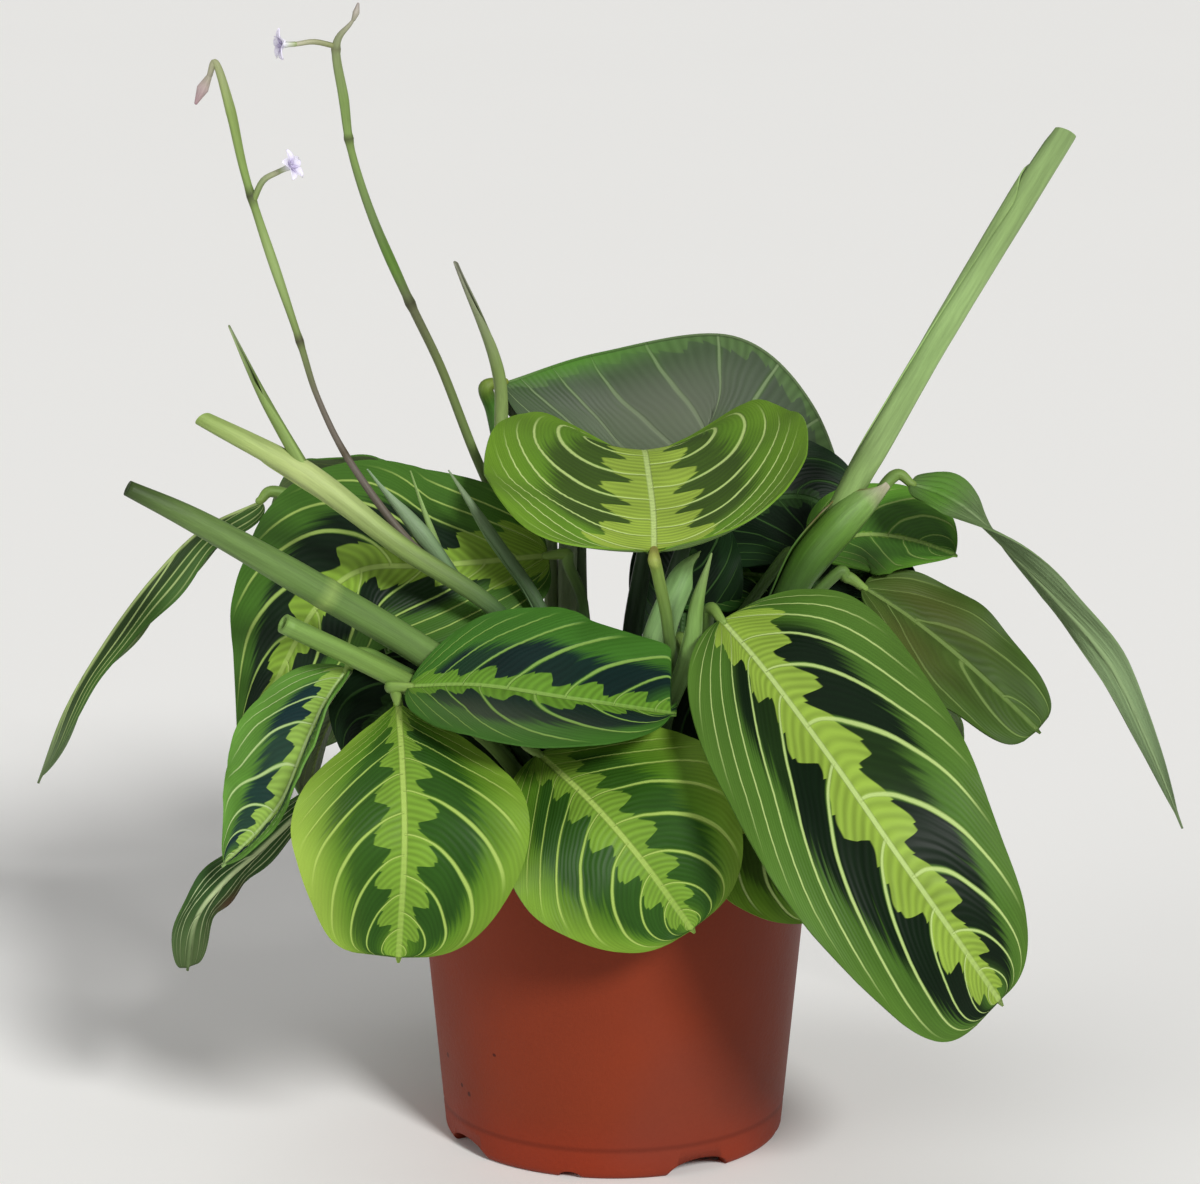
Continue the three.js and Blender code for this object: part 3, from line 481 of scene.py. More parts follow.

# Rolled leaves and sheaths: a thin sheet wound round its path, open at the top where it narrows to a
# point. Start, turns and twist are shares of a full turn, and opening is where the sheet starts to open.
# The dark colours at the foot of a roll are painted shade deep in the crown.
ROLL_DEFAULTS = dict(rooted=True, twist=0.1)
ROLLS = (
    dict(
        name="rolled_leaf_right", clump="right",
        path=(
            (32, -4, 125), (51, -2, 159), (68, 5, 190), (76, 6, 204),
            (89.5, 7, 228), (101, 8, 248), (115.5, 8, 273), (128, 8, 294),
        ),
        radii=(2.4, 2.4, 3.4, 4.2, 4.3, 3.9, 4.1, 4.4, 3.9),
        turns=1.7, twist=0.55, start=0.07, opening=0.86,
        colours=("2e4322", "4b6730", "749050", "809c5a", "859f62", "84a062", "8aa568", "829c60", "7d965e"),
    ),
    dict(
        name="sheath_right", clump="right", rooted=False,
        path=((48, -6, 158), (55.5, -3, 171), (63.5, 0, 180), (71, 3, 187), (78, 5, 192.5)),
        radii=(4.6, 6, 6.3, 5.2, 2.4), turns=1.2, start=0.36, opening=0.5, hem="5f5a2c",
        colours=("2c4618", "40621f", "5a8030", "75984c", "b5ae95"),
    ),
    dict(
        name="rolled_leaf_left", clump="left_front",
        path=((-22, -24, 135), (-32, -30, 161), (-60, -34, 182), (-86, -32, 202), (-116, -30, 218)),
        radii=(2, 2.2, 2.6, 3.2, 4, 2.4), turns=1.6, twist=0.4, start=0.3, opening=0.84,
        colours=("1d2d18", "223820", "3c5832", "7a8f4e", "a8b674", "849a52"),
    ),
    dict(
        name="bract_left", clump="left_front", rooted=False,
        path=((-85, -32, 201), (-97, -32, 223), (-107, -30, 244)),
        radii=(2.2, 1.6, 0.4), turns=1.2, start=0.2, opening=0.3,
        colours=("7b924e", "73894a", "6b7852"),
    ),
    dict(
        name="young_leaf_behind", clump="middle",
        path=((-20, 24, 140), (-32, 34, 191), (-34, 34, 220), (-46, 34, 252)),
        radii=(1.4, 1.6, 1.8, 1.5, 0.4), turns=1.5, twist=0.3, start=0.2, opening=0.7,
        colours=("26391e", "44612d", "7e9456", "73864b", "797a69"),
    ),
    dict(
        name="young_leaf_left", clump="left_front",
        path=((-18, -19, 130), (-20, -20, 158), (-35, -18, 182), (-47, -16, 200)),
        radii=(1.6, 1.8, 2.2, 2, 0.4), turns=1.5, twist=0.3, start=0.6, opening=0.7,
        colours=("1d2d18", "263c20", "445d3a", "5e7650", "7b8d6a"),
    ),
    dict(
        name="sheath_left_front", clump="left_front", rooted=False,
        path=((-46, -28, 172), (-49, -28, 178), (-57, -26, 202)),
        radii=(1.4, 1.5, 0.4), turns=1.3, start=0.4, opening=0.4,
        colours=("5b7642", "738d51", "7b9456"),
    ),
    dict(
        name="sheath_left_back", clump="left_front", rooted=False,
        path=((-44, -28, 170), (-54, -28.6, 184), (-69, -28, 203)),
        radii=(2, 2.8, 0.5), turns=1.3, start=0.4, opening=0.4,
        colours=("526c46", "6b815e", "788d6e"),
    ),
    dict(
        name="sheath_front_tall", clump="front",
        path=((14, -34, 130), (21, -42, 153), (23, -42, 168), (27, -42, 182)),
        radii=(1.6, 2, 3, 2.2, 0.4), turns=1.3, start=0.55, opening=0.5,
        colours=("1d2d18", "415e2d", "73964e", "6d8d46", "7e945a"),
    ),
    dict(
        name="sheath_front_broad", clump="front",
        path=((9, -26, 130), (12, -24, 152), (19, -18, 169), (25, -14, 176)),
        radii=(2, 3, 5, 4, 0.6), turns=1.2, twist=0.05, start=0.4, opening=0.5,
        colours=("1d2d18", "4f7240", "7ea163", "789c5d", "7b9456"),
    ),
)

BLOOMS = (
    dict(name="bloom_1", foot=(-93, -16, 285), mouth=(-90, -17.5, 286.5)),
    dict(name="bloom_2", foot=(-90.4, 14.5, 317), mouth=(-94, 13, 317)),
)
BUDS = (
    dict(
        name="bud_1", path=((-113.16, -8, 310.1), (-114.9, -8, 306.9), (-116.8, -8, 303)),
        radii=(0.9, 1.7, 0.5), colours=("918c7b", "ab9997", "9c8185"),
    ),
    dict(
        name="bud_2", path=((-74, 18, 323.6), (-73.2, 18, 325.6), (-72.6, 18, 328)),
        radii=(0.6, 1, 0.4), colours=("8d8b78", "9c968a", "908883"),
    ),
)


# Pot and soil. A speck is its centre and its radius, in millimetres. A line runs round the wall: its
# height and how far it stands out. Arches of two sizes, half width and height, take turns round the foot
# ring, and their pitch and start are degrees.
SPECKS = (
    ((-48.2, -19.1, 27.4), 1.1), ((-43.9, -26.4, 20.7), 0.9), ((-41.8, -29.4, 19), 1),
    ((-34.3, -39.8, 34.4), 0.8), ((-46, -24, 24), 0.5),
)
LIP_HEIGHT = 7 * MM
LIP_STEP = 1.6 * MM
LOW_LINE = 9.2 * MM
WALL_LINES = ((LOW_LINE, -0.2 * MM), (88.5 * MM, 0.25 * MM))
LINE_REACH = 1.1 * MM
FLOOR_BOTTOM = 5 * MM
FLOOR_THICKNESS = 1.6 * MM
FLOOR_BEND = 2 * MM
FOOT_WIDTH = 5 * MM
FOOT_DRAFT = 0.8 * MM
FOOT_ROUNDING = (2.2 * MM, 3 * MM)
BEAD_RADIUS = 0.5 * MM
ARCH_PITCH = 45
ARCH_START = 30
ARCHES = ((10 * MM, 4.6 * MM), (3.4 * MM, 2 * MM))
DRAIN_HOLES = 6
DRAIN_RADIUS = 4 * MM
DRAIN_CIRCLE = 30 * MM
CUTTER_SIDES = 32
SOIL_GAP = 0.5 * MM
SOIL_LIFT = 0.35 * MM
SOIL_CORNER = 4 * MM
SOIL_RINGS = 40
SOIL_STEPS = 120
SOIL_REACH = 56.5 * MM
CRUMB_REACH = 54.5 * MM
CRUMB_SEED = 7


class PotSettings(bpy.types.PropertyGroup):
    """Sizes and finish of the pot."""

    height: FloatProperty(name="Height", description="Height of the pot", default=0.105, unit="LENGTH")
    rim_radius: FloatProperty(
        name="Rim Radius", description="Outer radius of the lip", default=0.06, unit="LENGTH"
    )
    foot_radius: FloatProperty(
        name="Foot Radius", description="Outer radius over the foot ring", default=0.0496, unit="LENGTH"
    )
    wall: FloatProperty(name="Wall", description="Thickness of the wall", default=0.0014, unit="LENGTH")
    steps: IntProperty(name="Steps", description="Steps round the pot", default=192, min=24)
    colour: FloatVectorProperty(
        name="Colour", description="Colour of the plastic",
        subtype="COLOR", size=3, default=linear("762e18")
    )
    roughness: FloatProperty(
        name="Roughness", description="Roughness of the plastic", default=0.5, subtype="FACTOR"
    )


class SoilSettings(bpy.types.PropertyGroup):
    """Sizes and colour of the soil."""

    top: FloatProperty(
        name="Top", description="Height of the soil at the wall", default=0.093, unit="LENGTH"
    )
    mound: FloatProperty(
        name="Mound", description="Rise of the soil to its middle", default=0.003, unit="LENGTH"
    )
    crumbs: IntProperty(name="Crumbs", description="Number of loose crumbs on top", default=420, min=0)
    crumb_size: FloatProperty(
        name="Crumb Size", description="Radius of a middling crumb", default=0.0014, unit="LENGTH"
    )
    colour: FloatVectorProperty(
        name="Colour", description="Colour of the moist soil",
        subtype="COLOR", size=3, default=linear("30241b")
    )


class LeafSettings(bpy.types.PropertyGroup):
    """Thickness, relief and gloss of the blades."""

    thickness: FloatProperty(
        name="Thickness", description="Thickness of a blade", default=0.00055, unit="LENGTH"
    )
    rib_depth: FloatProperty(
        name="Rib Depth", description="How far the midrib stands out below", default=0.0011, unit="LENGTH"
    )
    rib_width: FloatProperty(
        name="Rib Width", description="Half width of the midrib below", default=0.0013, unit="LENGTH"
    )
    quilting: FloatProperty(
        name="Quilting", description="Rise of the tissue between two veins", default=0.00035, unit="LENGTH"
    )
    bend: FloatProperty(name="Vein Bend", description="How late a vein turns to the tip", default=1.6)
    vein_width: FloatProperty(
        name="Vein Width", description="Half width of a vein, in veins", default=0.085
    )
    roughness: FloatProperty(
        name="Roughness", description="Roughness of the upper side", default=0.48, subtype="FACTOR"
    )


class StemSettings(bpy.types.PropertyGroup):
    """Sizes of the stalks and sheaths."""

    clump_radius: FloatProperty(
        name="Clump Radius", description="Radius of a clump of leaf bases", default=0.0065, unit="LENGTH"
    )
    knee: FloatProperty(
        name="Knee", description="Length of the swelling under a blade", default=0.011, unit="LENGTH"
    )
    sheet: FloatProperty(
        name="Sheet", description="Thickness of a rolled leaf", default=0.00045, unit="LENGTH"
    )
    roughness: FloatProperty(
        name="Roughness", description="Roughness of the stems", default=0.45, subtype="FACTOR"
    )


class FlowerSettings(bpy.types.PropertyGroup):
    """Sizes and colours of the flowers."""

    petal_length: FloatProperty(
        name="Petal Length", description="Length of a petal", default=0.0044, unit="LENGTH"
    )
    petal_width: FloatProperty(
        name="Petal Width", description="Width of a petal", default=0.0031, unit="LENGTH"
    )
    colour: FloatVectorProperty(
        name="Colour", description="Colour of the petals",
        subtype="COLOR", size=3, default=linear("e6e2f1")
    )
    marking: FloatVectorProperty(
        name="Marking", description="Colour towards the throat",
        subtype="COLOR", size=3, default=linear("9c8fb8")
    )


class StageSettings(bpy.types.PropertyGroup):
    """Floor, lights and camera."""

    floor_size: FloatProperty(
        name="Floor Size", description="Width of the floor", default=24.0, unit="LENGTH"
    )
    floor_colour: FloatVectorProperty(
        name="Floor Colour", description="Colour of the floor",
        subtype="COLOR", size=3, default=linear("f8f7f4")
    )
    key_power: FloatProperty(name="Key Power", description="Strength of the main light", default=3.0)
    fill_power: FloatProperty(
        name="Fill Power", description="Strength of the light from the left", default=0.9
    )
    top_power: FloatProperty(
        name="Top Power", description="Strength of the light from above", default=0.45
    )
    world: FloatProperty(name="Surround", description="Strength of the surrounding light", default=0.2)
    distance: FloatProperty(
        name="Distance", description="Camera to its target", default=1.3, unit="LENGTH"
    )
    elevation: FloatProperty(
        name="Elevation", description="Camera above the horizon", default=math.radians(13),
        subtype="ANGLE"
    )
    lens: FloatProperty(name="Lens", description="Focal length", default=135.4, unit="CAMERA")


class Term:
    """A value in a node tree. Arithmetic on it adds Math nodes."""

    def __init__(self, tree, socket):
        self.tree = tree
        self.socket = socket

    def calc(self, operation, *others):
        return calculate(self.tree, operation, self, *others)

    def __add__(self, other):
        return self.calc("ADD", other)

    def __radd__(self, other):
        return self.calc("ADD", other)

    def __sub__(self, other):
        return self.calc("SUBTRACT", other)

    def __rsub__(self, other):
        return calculate(self.tree, "SUBTRACT", other, self)

    def __mul__(self, other):
        return self.calc("MULTIPLY", other)

    def __rmul__(self, other):
        return self.calc("MULTIPLY", other)

    def __pow__(self, other):
        return self.calc("POWER", other)

    def smooth(self, start, end, low=0.0, high=1.0):
        """Goes from low to high as this value goes from start to end."""
        node = self.tree.nodes.new("ShaderNodeMapRange")
        node.interpolation_type = "SMOOTHSTEP"
        for label, value in (
            ("Value", self), ("From Min", start), ("From Max", end), ("To Min", low), ("To Max", high),
        ):
            feed(self.tree, node.inputs[label], value)
        return Term(self.tree, node.outputs["Result"])


def feed(tree, socket, value):
    """Links a term to a socket, or sets the socket to a plain value."""
    if isinstance(value, Term):
        tree.links.new(value.socket, socket)
    else:
        socket.default_value = value


def calculate(tree, operation, *values):
    node = tree.nodes.new("ShaderNodeMath")
    node.operation = operation
    for socket, value in zip(node.inputs, values):
        feed(tree, socket, value)
    return Term(tree, node.outputs[0])


def vector_of(tree, x, y, z):
    node = tree.nodes.new("ShaderNodeCombineXYZ")
    for socket, value in zip(node.inputs, (x, y, z)):
        feed(tree, socket, value)
    return Term(tree, node.outputs[0])


def outputs_of(tree, node):
    """A node's outputs as terms, by name."""
    return {socket.name: Term(tree, socket) for socket in node.outputs}


def split(tree, vector):
    node = tree.nodes.new("ShaderNodeSeparateXYZ")
    feed(tree, node.inputs[0], vector)
    return [Term(tree, socket) for socket in node.outputs]


def cloud(tree, vector, scale, detail=3.0, roughness=0.5):
    """Soft noise from about 0.3 to 0.7."""
    node = tree.nodes.new("ShaderNodeTexNoise")
    feed(tree, node.inputs["Vector"], vector)
    feed(tree, node.inputs["Scale"], scale)
    node.inputs["Detail"].default_value = detail
    node.inputs["Roughness"].default_value = roughness
    return Term(tree, node.outputs["Fac"])


def chance(tree, vector):
    """A number from 0 to 1 that changes at random from one place to the next."""
    node = tree.nodes.new("ShaderNodeTexWhiteNoise")
    node.noise_dimensions = "3D"
    feed(tree, node.inputs["Vector"], vector)
    return Term(tree, node.outputs["Value"])


def blend_colours(tree, share, first, second, mode="MIX"):
    node = tree.nodes.new("ShaderNodeMix")
    node.data_type = "RGBA"
    node.blend_type = mode
    feed(tree, node.inputs["Factor"], share)
    colours = [socket for socket in node.inputs if socket.type == "RGBA"]
    feed(tree, colours[0], first)
    feed(tree, colours[1], second)
    return Term(tree, next(socket for socket in node.outputs if socket.type == "RGBA"))


def scale_colour(tree, colour, value):
    """A colour made lighter or darker by a value."""
    return blend_colours(tree, 1.0, colour, vector_of(tree, value, value, value), "MULTIPLY")


def attribute(tree, name):
    """What a node reads from an attribute of the piece, by the names of its outputs."""
    node = tree.nodes.new("ShaderNodeAttribute")
    node.attribute_name = name
    return outputs_of(tree, node)


def object_place(tree):
    return Term(tree, tree.nodes.new("ShaderNodeTexCoord").outputs["Object"])


def new_group(name, inputs, outputs):
    """A shader node group with named sockets, its inputs as terms and its output node."""
    tree = bpy.data.node_groups.new(name, "ShaderNodeTree")
    for label, kind in inputs:
        tree.interface.new_socket(name=label, in_out="INPUT", socket_type="NodeSocket" + kind)
    for label, kind in outputs:
        tree.interface.new_socket(name=label, in_out="OUTPUT", socket_type="NodeSocket" + kind)
    entry = tree.nodes.new("NodeGroupInput")
    terms = {label: Term(tree, entry.outputs[label]) for label, _ in inputs}
    return tree, terms, tree.nodes.new("NodeGroupOutput")


def use_group(tree, name, **values):
    """Places a node group, with underscores in place of the spaces of its sockets' names."""
    node = tree.nodes.new("ShaderNodeGroup")
    node.node_tree = bpy.data.node_groups[name]
    for label, value in values.items():
        feed(tree, node.inputs[label.replace("_", " ")], value)
    return outputs_of(tree, node)


def opaque(colour):
    return (*colour, 1.0)


def build_mottle_group():
    """Mottle: soft blotches and fine grain for plastic, soil, stems and petals."""
    tree, given, result = new_group(
        "mottle",
        (("Place", "Vector"), ("Blotch Scale", "Float"), ("Grain Scale", "Float"), ("Contrast", "Float")),
        (("Value", "Float"), ("Height", "Float")),
    )
    blotch = cloud(tree, given["Place"], given["Blotch Scale"], 2.0)
    grain = cloud(tree, given["Place"], given["Grain Scale"], 4.0, 0.65)
    value = 1.0 + given["Contrast"] * (blotch + 0.5 * grain - 0.75)
    feed(tree, result.inputs["Value"], value)
    feed(tree, result.inputs["Height"], grain)


# How much closer the veins stand at the base and the tip than in the middle, how far they stray, and how
# many fine fibres lie between two of them.
VEIN_CROWDING = 0.05
VEIN_DRIFT = 0.16
FIBRES = 6
# Half width of the pale line on the midrib, at its soft edge and where it is full.
RIB_EDGE = 1.1 * MM
RIB_FULL = 0.5 * MM
# How far the teeth of the band lean to the tip, how far the patches reach to the margin, and what sets the
# two sides of a blade apart when their teeth and patches are drawn.
BAND_LEAN = 0.07
PATCH_REACH = 0.6
SIDE_STEP = 7.3


def build_marking_group():
    """Leaf markings: a jagged band along the midrib, dark patches and arching veins.

    Place is (u, v, distance from the midrib): u runs from the base to the tip, and v from -1 at the left
    margin to 1 at the right one.
    """
    colours = ("Lime", "Green", "Dark", "Vein", "Rim")
    numbers = (
        "Veins", "Left Sweep", "Right Sweep", "Left Bend", "Right Bend", "Vein Width", "Band", "Patch",
        "Edge", "Seed", "Contrast",
    )
    inputs = [("Place", "Vector")]
    inputs += [(name, "Float") for name in numbers]
    inputs += [(name, "Color") for name in colours]
    outputs = (("Color", "Color"), ("Height", "Float"), ("Roughness", "Float"))
    tree, given, result = new_group("leaf_markings", inputs, outputs)
    u, v, across = split(tree, given["Place"])
    seed = given["Seed"]
    side = v.calc("GREATER_THAN", 0.0)
    reach = v.calc("ABSOLUTE")
    drift = cloud(tree, vector_of(tree, u * 5.0, v * 2.5, seed), 1.0, 1.0) - 0.5
    sweep = given["Left Sweep"] + (given["Right Sweep"] - given["Left Sweep"]) * side
    bend = given["Left Bend"] + (given["Right Bend"] - given["Left Bend"]) * side
    lean = sweep * reach**bend
    start = u - lean
    crowding = VEIN_CROWDING * (start * math.tau).calc("SINE")
    cell = (start + crowding) * given["Veins"] + side * 0.5 + drift * VEIN_DRIFT
    number = cell.calc("FLOOR")
    phase = cell.calc("FRACT")
    to_vein = phase.calc("MINIMUM", 1.0 - phase)
    luck = chance(tree, vector_of(tree, number, side * SIDE_STEP, seed))
    streak = cloud(tree, vector_of(tree, cell * 9.0, reach * 1.6, seed), 1.0, 2.0)

    width = given["Vein Width"] * (0.36 + 0.64 * reach.smooth(0.0, 0.6))
    vein = to_vein.smooth(width, width * 0.3) * reach.smooth(0.8, 0.97, 1.0, 0.0)
    rib = across.calc("ABSOLUTE").smooth(RIB_EDGE, RIB_FULL) * u.smooth(0.5, 1.0, 1.0, 0.5)

    # The band widens past each vein to a corner, steps back to the midrib and widens again along the next
    # vein.
    offset = lean - BAND_LEAN * reach - sweep * given["Band"] ** bend + BAND_LEAN * given["Band"]
    square = (cell + given["Veins"] * offset).calc("FRACT")
    rise = square.smooth(0.0, 0.36, 0.0, 0.34)
    drop = square.smooth(0.5, 0.6, 0.0, 0.74 + 0.24 * (luck - 0.5))
    step = rise - drop + square.smooth(0.66, 1.0, 0.0, 0.38 + 0.24 * (luck - 0.5))
    jag = (square * 3.0 + luck).calc("FRACT") - 0.5
    spread = u.smooth(0.02, 0.2, 1.6, 0.0)
    edge = given["Band"] * (1.0 + spread + step) + 0.03 * jag
    lime = reach.smooth(edge + 0.01, edge - 0.01)

    outer = PATCH_REACH + 0.14 * luck + 0.4 * (streak - 0.5)
    dark = reach.smooth(outer, outer - 0.16) * start.smooth(0.0, 0.1) * start.smooth(0.95, 0.84)
    dark = dark * to_vein.smooth(0.03, 0.085) * given["Patch"] * luck.smooth(0.0, 0.4, 0.86, 1.0)

    fibre = (cell * (FIBRES * math.tau) + drift * 6.0).calc("SINE") * (1.0 - 0.6 * reach)
    shade = (0.09 + 0.07 * lime) * fibre + 0.34 * (streak - 0.5) + 0.6 * drift
    tissue = blend_colours(tree, reach.smooth(0.55, 1.0) * given["Edge"], given["Green"], given["Rim"])
    tissue = blend_colours(tree, dark, tissue, given["Dark"])
    tissue = blend_colours(tree, lime, tissue, given["Lime"])
    tissue = scale_colour(tree, tissue, 1.0 + given["Contrast"] * shade)
    line = vein.calc("MAXIMUM", rib)
    feed(tree, result.inputs["Color"], blend_colours(tree, line * 0.9, tissue, given["Vein"]))
    feed(tree, result.inputs["Height"], 0.035 * fibre - 0.2 * vein - 0.3 * rib)
    feed(tree, result.inputs["Roughness"], 0.06 * line - 0.04 * dark + 0.15 * (streak - 0.5))


# The underside's share of a vein's width, its contrast and how much rougher it is.
UNDERSIDE_VEINS = 0.6
UNDERSIDE_CONTRAST = 1.6
UNDERSIDE_ROUGHNESS = 0.14
LEAF_SHEEN = 0.1
STEM_SHEEN = 0.2
POT_SHEEN = 0.12


def new_material(name):
    """A material with a Principled BSDF, its tree and that node."""
    material = bpy.data.materials.new(name)
    material.use_nodes = True
    tree = material.node_tree
    return material, tree, tree.nodes["Principled BSDF"]


def bump(tree, shader, height, distance):
    """Feeds a height, in the given distance, to a shader's normal."""
    node = tree.nodes.new("ShaderNodeBump")
    node.inputs["Distance"].default_value = distance
    feed(tree, node.inputs["Height"], height)
    tree.links.new(node.outputs["Normal"], shader.inputs["Normal"])


def leaf_material(name, leaf, look, underside):
    """The upper or the lower side of one blade."""
    settings = bpy.context.scene.prayer_leaf
    material, tree, shader = new_material(name)
    tint = dict(look)
    if underside:
        tint.update(lime=look["under"], green=look["under"], dark=look["under"], patch=0.0, edge=0.0)
    labels = ("lime", "green", "dark", "vein", "rim")
    colours = {label.capitalize(): opaque(linear(tint[label])) for label in labels}
    marks = use_group(
        tree, "leaf_markings", Place=attribute(tree, "place")["Vector"], Veins=leaf["veins"],
        Left_Sweep=leaf["sweep"][0], Right_Sweep=leaf["sweep"][1],
        Left_Bend=settings.bend + leaf["bend"][0], Right_Bend=settings.bend + leaf["bend"][1],
        Vein_Width=settings.vein_width * leaf["bold"] * (UNDERSIDE_VEINS if underside else 1.0),
        Band=tint["band"], Patch=tint["patch"], Edge=tint["edge"], Seed=leaf["seed"],
        Contrast=UNDERSIDE_CONTRAST if underside else 1.0, **colours,
    )
    wash = attribute(tree, "wash")
    colour = blend_colours(tree, wash["Alpha"], marks["Color"], wash["Color"])
    roughness = settings.roughness + (UNDERSIDE_ROUGHNESS if underside else 0.0)
    feed(tree, shader.inputs["Base Color"], colour)
    feed(tree, shader.inputs["Roughness"], marks["Roughness"] + roughness)
    shader.inputs["Specular IOR Level"].default_value = LEAF_SHEEN
    bump(tree, shader, marks["Height"], MM)
    return material


def stem_material():
    """Stems and sheaths: the colour laid along them, with fine fibres lengthways."""
    material, tree, shader = new_material("stem_skin")
    along, x, y = split(tree, attribute(tree, "place")["Vector"])
    fibres = vector_of(tree, along * 0.05, x, y)
    mottle = use_group(
        tree, "mottle", Place=fibres, Blotch_Scale=600.0, Grain_Scale=2600.0, Contrast=0.9
    )
    colour = scale_colour(tree, attribute(tree, "tint")["Color"], mottle["Value"])
    feed(tree, shader.inputs["Base Color"], colour)
    shader.inputs["Roughness"].default_value = bpy.context.scene.prayer_stem.roughness
    shader.inputs["Specular IOR Level"].default_value = STEM_SHEEN
    bump(tree, shader, mottle["Height"], 0.15 * MM)
    return material


def pot_material():
    """Satin plastic: a warmer foot, a darker line of painted shade above it, faint mottling, a few dark
    specks.
    """
    settings = bpy.context.scene.prayer_pot
    material, tree, shader = new_material("pot_plastic")
    place = object_place(tree)
    _, _, z = split(tree, place)
    mottle = use_group(tree, "mottle", Place=place, Blotch_Scale=22.0, Grain_Scale=900.0, Contrast=0.34)
    warm = opaque(linear("802c17"))
    dull = opaque(linear("693227"))
    speck = opaque(linear("361009"))
    colour = blend_colours(tree, z.smooth(22 * MM, 4 * MM, 0.0, 0.75), opaque(settings.colour), warm)
    colour = blend_colours(tree, cloud(tree, place, 14.0, 2.0).smooth(0.5, 0.72, 0.0, 0.5), colour, dull)
    colour = scale_colour(tree, colour, mottle["Value"])
    # Painted shade: a darker line along the groove just above the foot; the specks are the plastic's own.
    above = z.smooth(LOW_LINE + 1.2 * MM, LOW_LINE, 0.0, 0.3)
    dark = above * z.smooth(LOW_LINE - 1.4 * MM, LOW_LINE - 0.2 * MM)
    for centre, size in SPECKS:
        apart = tree.nodes.new("ShaderNodeVectorMath")
        apart.operation = "DISTANCE"
        feed(tree, apart.inputs[0], place)
        apart.inputs[1].default_value = Vector(centre) * MM
        near = Term(tree, apart.outputs["Value"]) + (cloud(tree, place, 800.0) - 0.5) * MM
        dark = dark.calc("MAXIMUM", near.smooth(size * MM, size * 0.5 * MM, 0.0, 0.85))
    feed(tree, shader.inputs["Base Color"], blend_colours(tree, dark, colour, speck))
    feed(tree, shader.inputs["Roughness"], mottle["Height"] * 0.16 + (settings.roughness - 0.08))
    shader.inputs["Specular IOR Level"].default_value = POT_SHEEN
    bump(tree, shader, mottle["Height"] + cloud(tree, place, 160.0, 2.0), 0.09 * MM)
    return material


def soil_material():
    """Moist peat with lighter fibres."""
    material, tree, shader = new_material("moist_soil")
    place = object_place(tree)
    mottle = use_group(tree, "mottle", Place=place, Blotch_Scale=220.0, Grain_Scale=1500.0, Contrast=1.6)
    light = cloud(tree, place, 700.0, 3.0).smooth(0.6, 0.72)
    base = opaque(bpy.context.scene.prayer_soil.colour)
    colour = blend_colours(tree, light * 0.6, base, opaque(linear("6b5138")))
    feed(tree, shader.inputs["Base Color"], scale_colour(tree, colour, mottle["Value"]))
    shader.inputs["Roughness"].default_value = 0.92
    bump(tree, shader, mottle["Height"], 0.8 * MM)
    return material


def petal_material():
    """Thin whitish petals, lavender towards the throat."""
    settings = bpy.context.scene.prayer_flower
    material, tree, shader = new_material("petal")
    along, across, _ = split(tree, attribute(tree, "place")["Vector"])
    lines = (across * 24.0 + along * 3.0).calc("SINE").smooth(0.2, 1.0, 0.0, 0.35)
    share = along.smooth(0.65, 0.05, 0.0, 0.8).calc("MAXIMUM", lines * along.smooth(1.0, 0.5))
    colour = blend_colours(tree, share, opaque(settings.colour), opaque(settings.marking))
    feed(tree, shader.inputs["Base Color"], colour)
    shader.inputs["Roughness"].default_value = 0.6
    mottle = use_group(
        tree, "mottle", Place=object_place(tree), Blotch_Scale=400.0, Grain_Scale=2500.0, Contrast=0.2
    )
    bump(tree, shader, mottle["Height"], 0.05 * MM)
    return material


def floor_material():
    """A plain pale floor."""
    settings = bpy.context.scene.prayer_stage
    material, tree, shader = new_material("pale_floor")
    mottle = use_group(
        tree, "mottle", Place=object_place(tree), Blotch_Scale=3.0, Grain_Scale=300.0, Contrast=0.01
    )
    colour = scale_colour(tree, opaque(settings.floor_colour), mottle["Value"])
    feed(tree, shader.inputs["Base Color"], colour)
    shader.inputs["Roughness"].default_value = 0.7
    return material


class Way:
    """A smooth curve through points, one span from each point to the next, given in millimetres."""

    def __init__(self, points):
        self.points = [Vector(p) * MM for p in points]

    def at(self, u):
        points = self.points
        last = len(points) - 1
        place = min(max(u, 0.0), 1.0) * last
        index = min(int(place), last - 1)
        t = place - index
        start, end = points[index], points[index + 1]
        before = points[index - 1] if index > 0 else 2 * start - end
        after = points[index + 2] if index + 2 <= last else 2 * end - start
        leave, arrive = (end - before) / 2, (after - start) / 2
        step = end - start
        square = 3 * step - 2 * leave - arrive
        cube = leave + arrive - 2 * step
        return start + t * leave + t**2 * square + t**3 * cube

    def heading(self, u):
        step = 1e-4
        return (self.at(min(u + step, 1.0)) - self.at(max(u - step, 0.0))).normalized()

    def length(self):
        return sum((b - a).length for a, b in zip(self.points, self.points[1:]))


def between(values, u):
    """The value at u in a list at equal steps: a number or a vector."""
    place = min(max(u, 0.0), 1.0) * (len(values) - 1)
    index = min(int(place), len(values) - 2)
    share = place - index
    return values[index] * (1 - share) + values[index + 1] * share


def on_the_way(value, u):
    """A single number, or the one at u in a list at equal steps."""
    return between(value, u) if isinstance(value, tuple) else value


def smoothstep(start, end, value):
    t = min(max((value - start) / (end - start), 0.0), 1.0)
    return t * t * (3 - 2 * t)


def grid_places(bm, columns, rows):
    """Adds a grid and gives each new vertex with its share across and its share along."""
    made = bmesh.ops.create_grid(bm, x_segments=columns, y_segments=rows, size=1)
    return [(v, (v.co.x + 1) / 2, (v.co.y + 1) / 2) for v in made["verts"]]


def smooth_faces(faces):
    for face in faces:
        face.smooth = True


